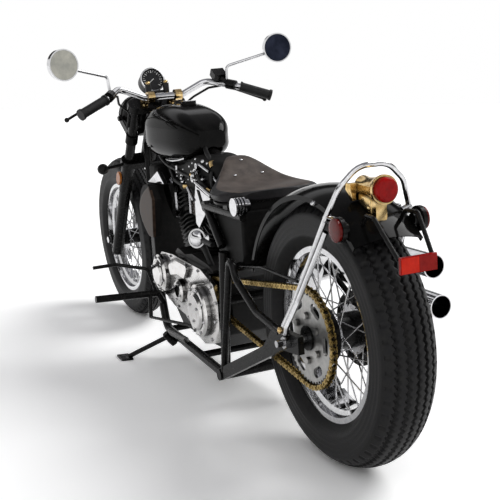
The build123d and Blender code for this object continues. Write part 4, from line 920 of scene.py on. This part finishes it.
def side_lamp_glass():
    """A low dome on a short drum on each side."""
    x, z = SIDE_LAMP
    faces = [dome((x, side * SIDE_GLASS_FACE, z), (0, side, 0), SIDE_GLASS_RADIUS, 2.6, 32, 5)
             for side in SIDES]
    drums = [closed_tube([(x, side * SIDE_GLASS_BACK, z), (x, side * SIDE_GLASS_FACE, z)],
                         SIDE_GLASS_RADIUS, 32) for side in SIDES]
    joined("side_lamp_glass", faces + drums, SIDE_RED)


side_lamp_glass()

# Dial of the speedometer: marks round an arc, a pointer and a bright rim
DIAL_CENTRE = np.array([1285.0, 0, 944])
DIAL_AXIS = np.array([-90.0, 0, 36]) / math.hypot(90, 36)
DIAL_UP = np.array([36.0, 0, 90]) / math.hypot(90, 36)
RIM_RADIUS = 42
RIM_WIRE = 2.6
RIM_LIFT = 4.2
RIM_STEPS, RIM_AROUND = 48, 12
MARKS = 19
MARK_STEP = 15
MARK_END = 35
SHORT_MARK = (29, 1.2)
LONG_MARK = (26, 2.0)
MARK_LIFT = 1.3
BAR_THICKNESS = 0.6
FIRST_MARK = -135
POINTER_ANGLE = -128
POINTER_FROM, POINTER_TO = -6, 25
POINTER_WIDTH = 2.0
POINTER_LIFT = 1.9


def dial_rim():
    """A ring of wire round the glass: centre + r (left cos a + up sin a)."""
    a = even_angles(RIM_STEPS)[:, None]
    path = DIAL_CENTRE + DIAL_AXIS * RIM_LIFT + RIM_RADIUS * (np.cos(a) * LEFT + np.sin(a) * DIAL_UP)
    faces = grid_faces(RIM_STEPS, RIM_AROUND, True, True).tolist()
    wire = tube_grid(path, RIM_WIRE, RIM_AROUND, closed=True)
    joined("dial_rim", [(wire, faces)], CHROME, "front_end", steered)


def dial_bar(inner, outer, angle, width, lift):
    """A thin bar on the dial from one radius to another at an angle from the top, clockwise for the rider."""
    side = -LEFT * math.sin(angle) + DIAL_UP * math.cos(angle)
    across = np.cross(DIAL_AXIS, side) * width / 2
    base = DIAL_CENTRE + DIAL_AXIS * lift
    flat = np.array([base + side * inner - across, base + side * outer - across,
                     base + side * outer + across, base + side * inner + across])
    return outward((np.concatenate([flat, flat + DIAL_AXIS * BAR_THICKNESS]), closed_skin(2, 4)))


def dial_marks():
    """Marks at even steps, each third one longer and wider, and the pointer."""
    marks = []
    for k in range(MARKS):
        inner, width = SHORT_MARK if k % 3 else LONG_MARK
        angle = math.radians(FIRST_MARK + k * MARK_STEP)
        marks.append(dial_bar(inner, MARK_END, angle, width, MARK_LIFT))
    angle = math.radians(POINTER_ANGLE)
    marks.append(dial_bar(POINTER_FROM, POINTER_TO, angle, POINTER_WIDTH, POINTER_LIFT))
    joined("dial_marks", marks, DIAL_WHITE, "front_end", steered, smooth=False)


dial_rim()
joined("dial_face", [disc(DIAL_CENTRE, DIAL_AXIS, 0.9, 1.4, 39.5, 48)], BLACK_PLASTIC,
       "front_end", steered, smooth=False)
dial_marks()

# Tail lamp body, behind the lens
LAMP_HEIGHT = 706
LAMP_PROFILE = [(-222, 33), (-214.5, 33), (-214, 31), (-211, 29), (-196, 27), (-178, 24), (-162, 22),
                (-150, 22), (-140, 23), (-131, 24)]
BACK_PLATE = [(-44, 716), (44, 716), (46, 702), (34, 676), (-34, 676), (-46, 702)]
FOOT_ROWS = [(-205, 14, 634.8, 682), (-192, 20, 643, 688), (-170, 22, 655.6, 692), (-146, 22, 667, 694)]
QUARTER_TURN = np.array([[0, 1, 0], [-1, 0, 0], [0, 0, 1]])


def tail_lamp_body():
    """A waisted turning with a flared plate at its back, on a foot shaped to the fender, and two screws."""
    axis = [(x, 0, LAMP_HEIGHT) for x, _ in LAMP_PROFILE]
    turning = closed_tube(axis, [radius for _, radius in LAMP_PROFILE], 40)
    plate_points, plate_faces = crowned_plate(BACK_PLATE, 130, 137, 3)
    screws = [dome((-185, side * 21, 664), (0, side, 0), 5, 4) for side in SIDES]
    shapes = [turning, (plate_points @ QUARTER_TURN, plate_faces), lofted(FOOT_ROWS, power=0.35)] + screws
    joined("tail_lamp_body", shapes, BRASS, node="tail_lamp_bracket")


tail_lamp_body()

# Rear reflector: its left half a lighter red than its right half
REFLECTOR_X = (-345.5, -343.5)
REFLECTOR_Z = (546.5, 579.5)
REFLECTOR_HALF = 44
TONE_GAP_HALF = 0.4
BOX_FACES = [(0, 1, 3, 2), (4, 6, 7, 5), (0, 4, 5, 1), (2, 3, 7, 6), (0, 2, 6, 4), (1, 5, 7, 3)]


def reflector_half(name, low_y, high_y, finish):
    """A thin box over one half of the reflector."""
    corners = [(x, y, z) for x in REFLECTOR_X for y in (low_y, high_y) for z in REFLECTOR_Z]
    joined(name, [(corners, BOX_FACES)], finish, smooth=False)


reflector_half("reflector_bright_half", TONE_GAP_HALF, REFLECTOR_HALF, RED_BRIGHT)
reflector_half("reflector_deep_half", -REFLECTOR_HALF, -TONE_GAP_HALF, RED_DEEP)

# Studio
CAMERA_PLACE = (-2.7927, 1.0840, 0.9324)
CAMERA_YAW = -0.4244
CAMERA_PITCH = -0.1753
LENS = 68.07
SENSOR = 36
FLOOR_REACH = 30
FLOOR_SHADE = (0.55, 0.55, 0.55, 1)
FLOOR_SEEN = (1.45, 1.45, 1.44, 1)
SKY_FOOT = 0.26
SKY_TOP = 0.80
SKY_TOP_SHADE = (0.28, 0.28, 0.30, 1)
BOUNCED_SKY = 0.75
BLUE_TINT = 1.02
SKY_BANDS = ((0.31, 0.03), (0.44, 0.03), (0.50, 0.95), (0.60, 0.95), (0.66, 0.28))
SUNS = (("key_sun", 1.6, 35, (38, -14, 20)), ("fill_sun", 0.6, 60, (50, 10, -120)))


def camera(scene):
    """A camera at the photograph's place, looking along its yaw and pitch."""
    lens = bpy.data.cameras.new("camera")
    lens.lens = LENS
    lens.sensor_width = SENSOR
    eye = bpy.data.objects.new("camera", lens)
    scene.collection.objects.link(eye)
    eye.location = CAMERA_PLACE
    level = math.cos(CAMERA_PITCH)
    ahead = Vector((math.cos(CAMERA_YAW) * level, math.sin(CAMERA_YAW) * level, math.sin(CAMERA_PITCH)))
    eye.rotation_euler = ahead.to_track_quat("-Z", "Y").to_euler()
    scene.camera = eye


def seen_directly(tree):
    """1 for rays from the camera, off a mirror or through glass, and 0 for light that only bounces."""
    path = tree.nodes.new("ShaderNodeLightPath")
    seen = path.outputs["Is Camera Ray"]
    for kind in ("Is Glossy Ray", "Is Transmission Ray"):
        either = tree.nodes.new("ShaderNodeMath")
        either.operation = "MAXIMUM"
        tree.links.new(seen, either.inputs[0])
        tree.links.new(path.outputs[kind], either.inputs[1])
        seen = either.outputs[0]
    return seen


def pale_floor(scene):
    """A wide floor that looks white where it is seen and throws back less light than it shows."""
    reach = FLOOR_REACH
    mesh = bpy.data.meshes.new("floor")
    corners = [(-reach, -reach, 0), (reach, -reach, 0), (reach, reach, 0), (-reach, reach, 0)]
    mesh.from_pydata(corners, [], [(0, 1, 2, 3)])
    floor = bpy.data.objects.new("floor", mesh)
    scene.collection.objects.link(floor)
    pale = bpy.data.materials.new("pale_floor")
    pale.use_nodes = True
    tree = pale.node_tree
    mix = tree.nodes.new("ShaderNodeMix")
    mix.data_type = "RGBA"
    mix.inputs["A"].default_value = FLOOR_SHADE
    mix.inputs["B"].default_value = FLOOR_SEEN
    tree.links.new(seen_directly(tree), mix.inputs["Factor"])
    shader = tree.nodes["Principled BSDF"]
    shader.inputs["Roughness"].default_value = 0.9
    shader.inputs["Specular IOR Level"].default_value = 0.0
    tree.links.new(mix.outputs["Result"], shader.inputs["Base Color"])
    mesh.materials.append(pale)


def banded_sky(scene):
    """A sky graded by height, for crisp reflections: white low down, a dark band, a bright one, a dim top."""
    world = bpy.data.worlds.new("sky")
    world.use_nodes = True
    scene.world = world
    tree = world.node_tree
    sky = tree.nodes["Background"]
    direction = tree.nodes.new("ShaderNodeTexCoord")
    split = tree.nodes.new("ShaderNodeSeparateXYZ")
    tree.links.new(direction.outputs["Generated"], split.inputs[0])
    ramp = tree.nodes.new("ShaderNodeValToRGB")
    ramp.color_ramp.elements[0].position = SKY_FOOT
    ramp.color_ramp.elements[0].color = (1, 1, 1, 1)
    ramp.color_ramp.elements[1].position = SKY_TOP
    ramp.color_ramp.elements[1].color = SKY_TOP_SHADE
    for height, shade in SKY_BANDS:
        step = ramp.color_ramp.elements.new(height)
        step.color = (shade, shade, shade * BLUE_TINT, 1)
    tree.links.new(split.outputs["Z"], ramp.inputs["Fac"])
    tree.links.new(ramp.outputs["Color"], sky.inputs["Color"])
    level = tree.nodes.new("ShaderNodeMapRange")
    level.inputs["To Min"].default_value = BOUNCED_SKY
    level.inputs["To Max"].default_value = 1.0
    tree.links.new(seen_directly(tree), level.inputs["Value"])
    tree.links.new(level.outputs["Result"], sky.inputs["Strength"])


def sun(scene, name, strength, angle, turn):
    """One broad sun, turned by three angles in degrees."""
    lamp = bpy.data.lights.new(name, "SUN")
    lamp.energy = strength
    lamp.angle = math.radians(angle)
    light = bpy.data.objects.new(name, lamp)
    light.rotation_euler = [math.radians(degrees) for degrees in turn]
    scene.collection.objects.link(light)


def studio():
    """The photograph's camera, a pale floor, a banded sky and two suns."""
    scene = bpy.context.scene
    scene.view_settings.view_transform = "Standard"
    camera(scene)
    pale_floor(scene)
    banded_sky(scene)
    for values in SUNS:
        sun(scene, *values)


studio()
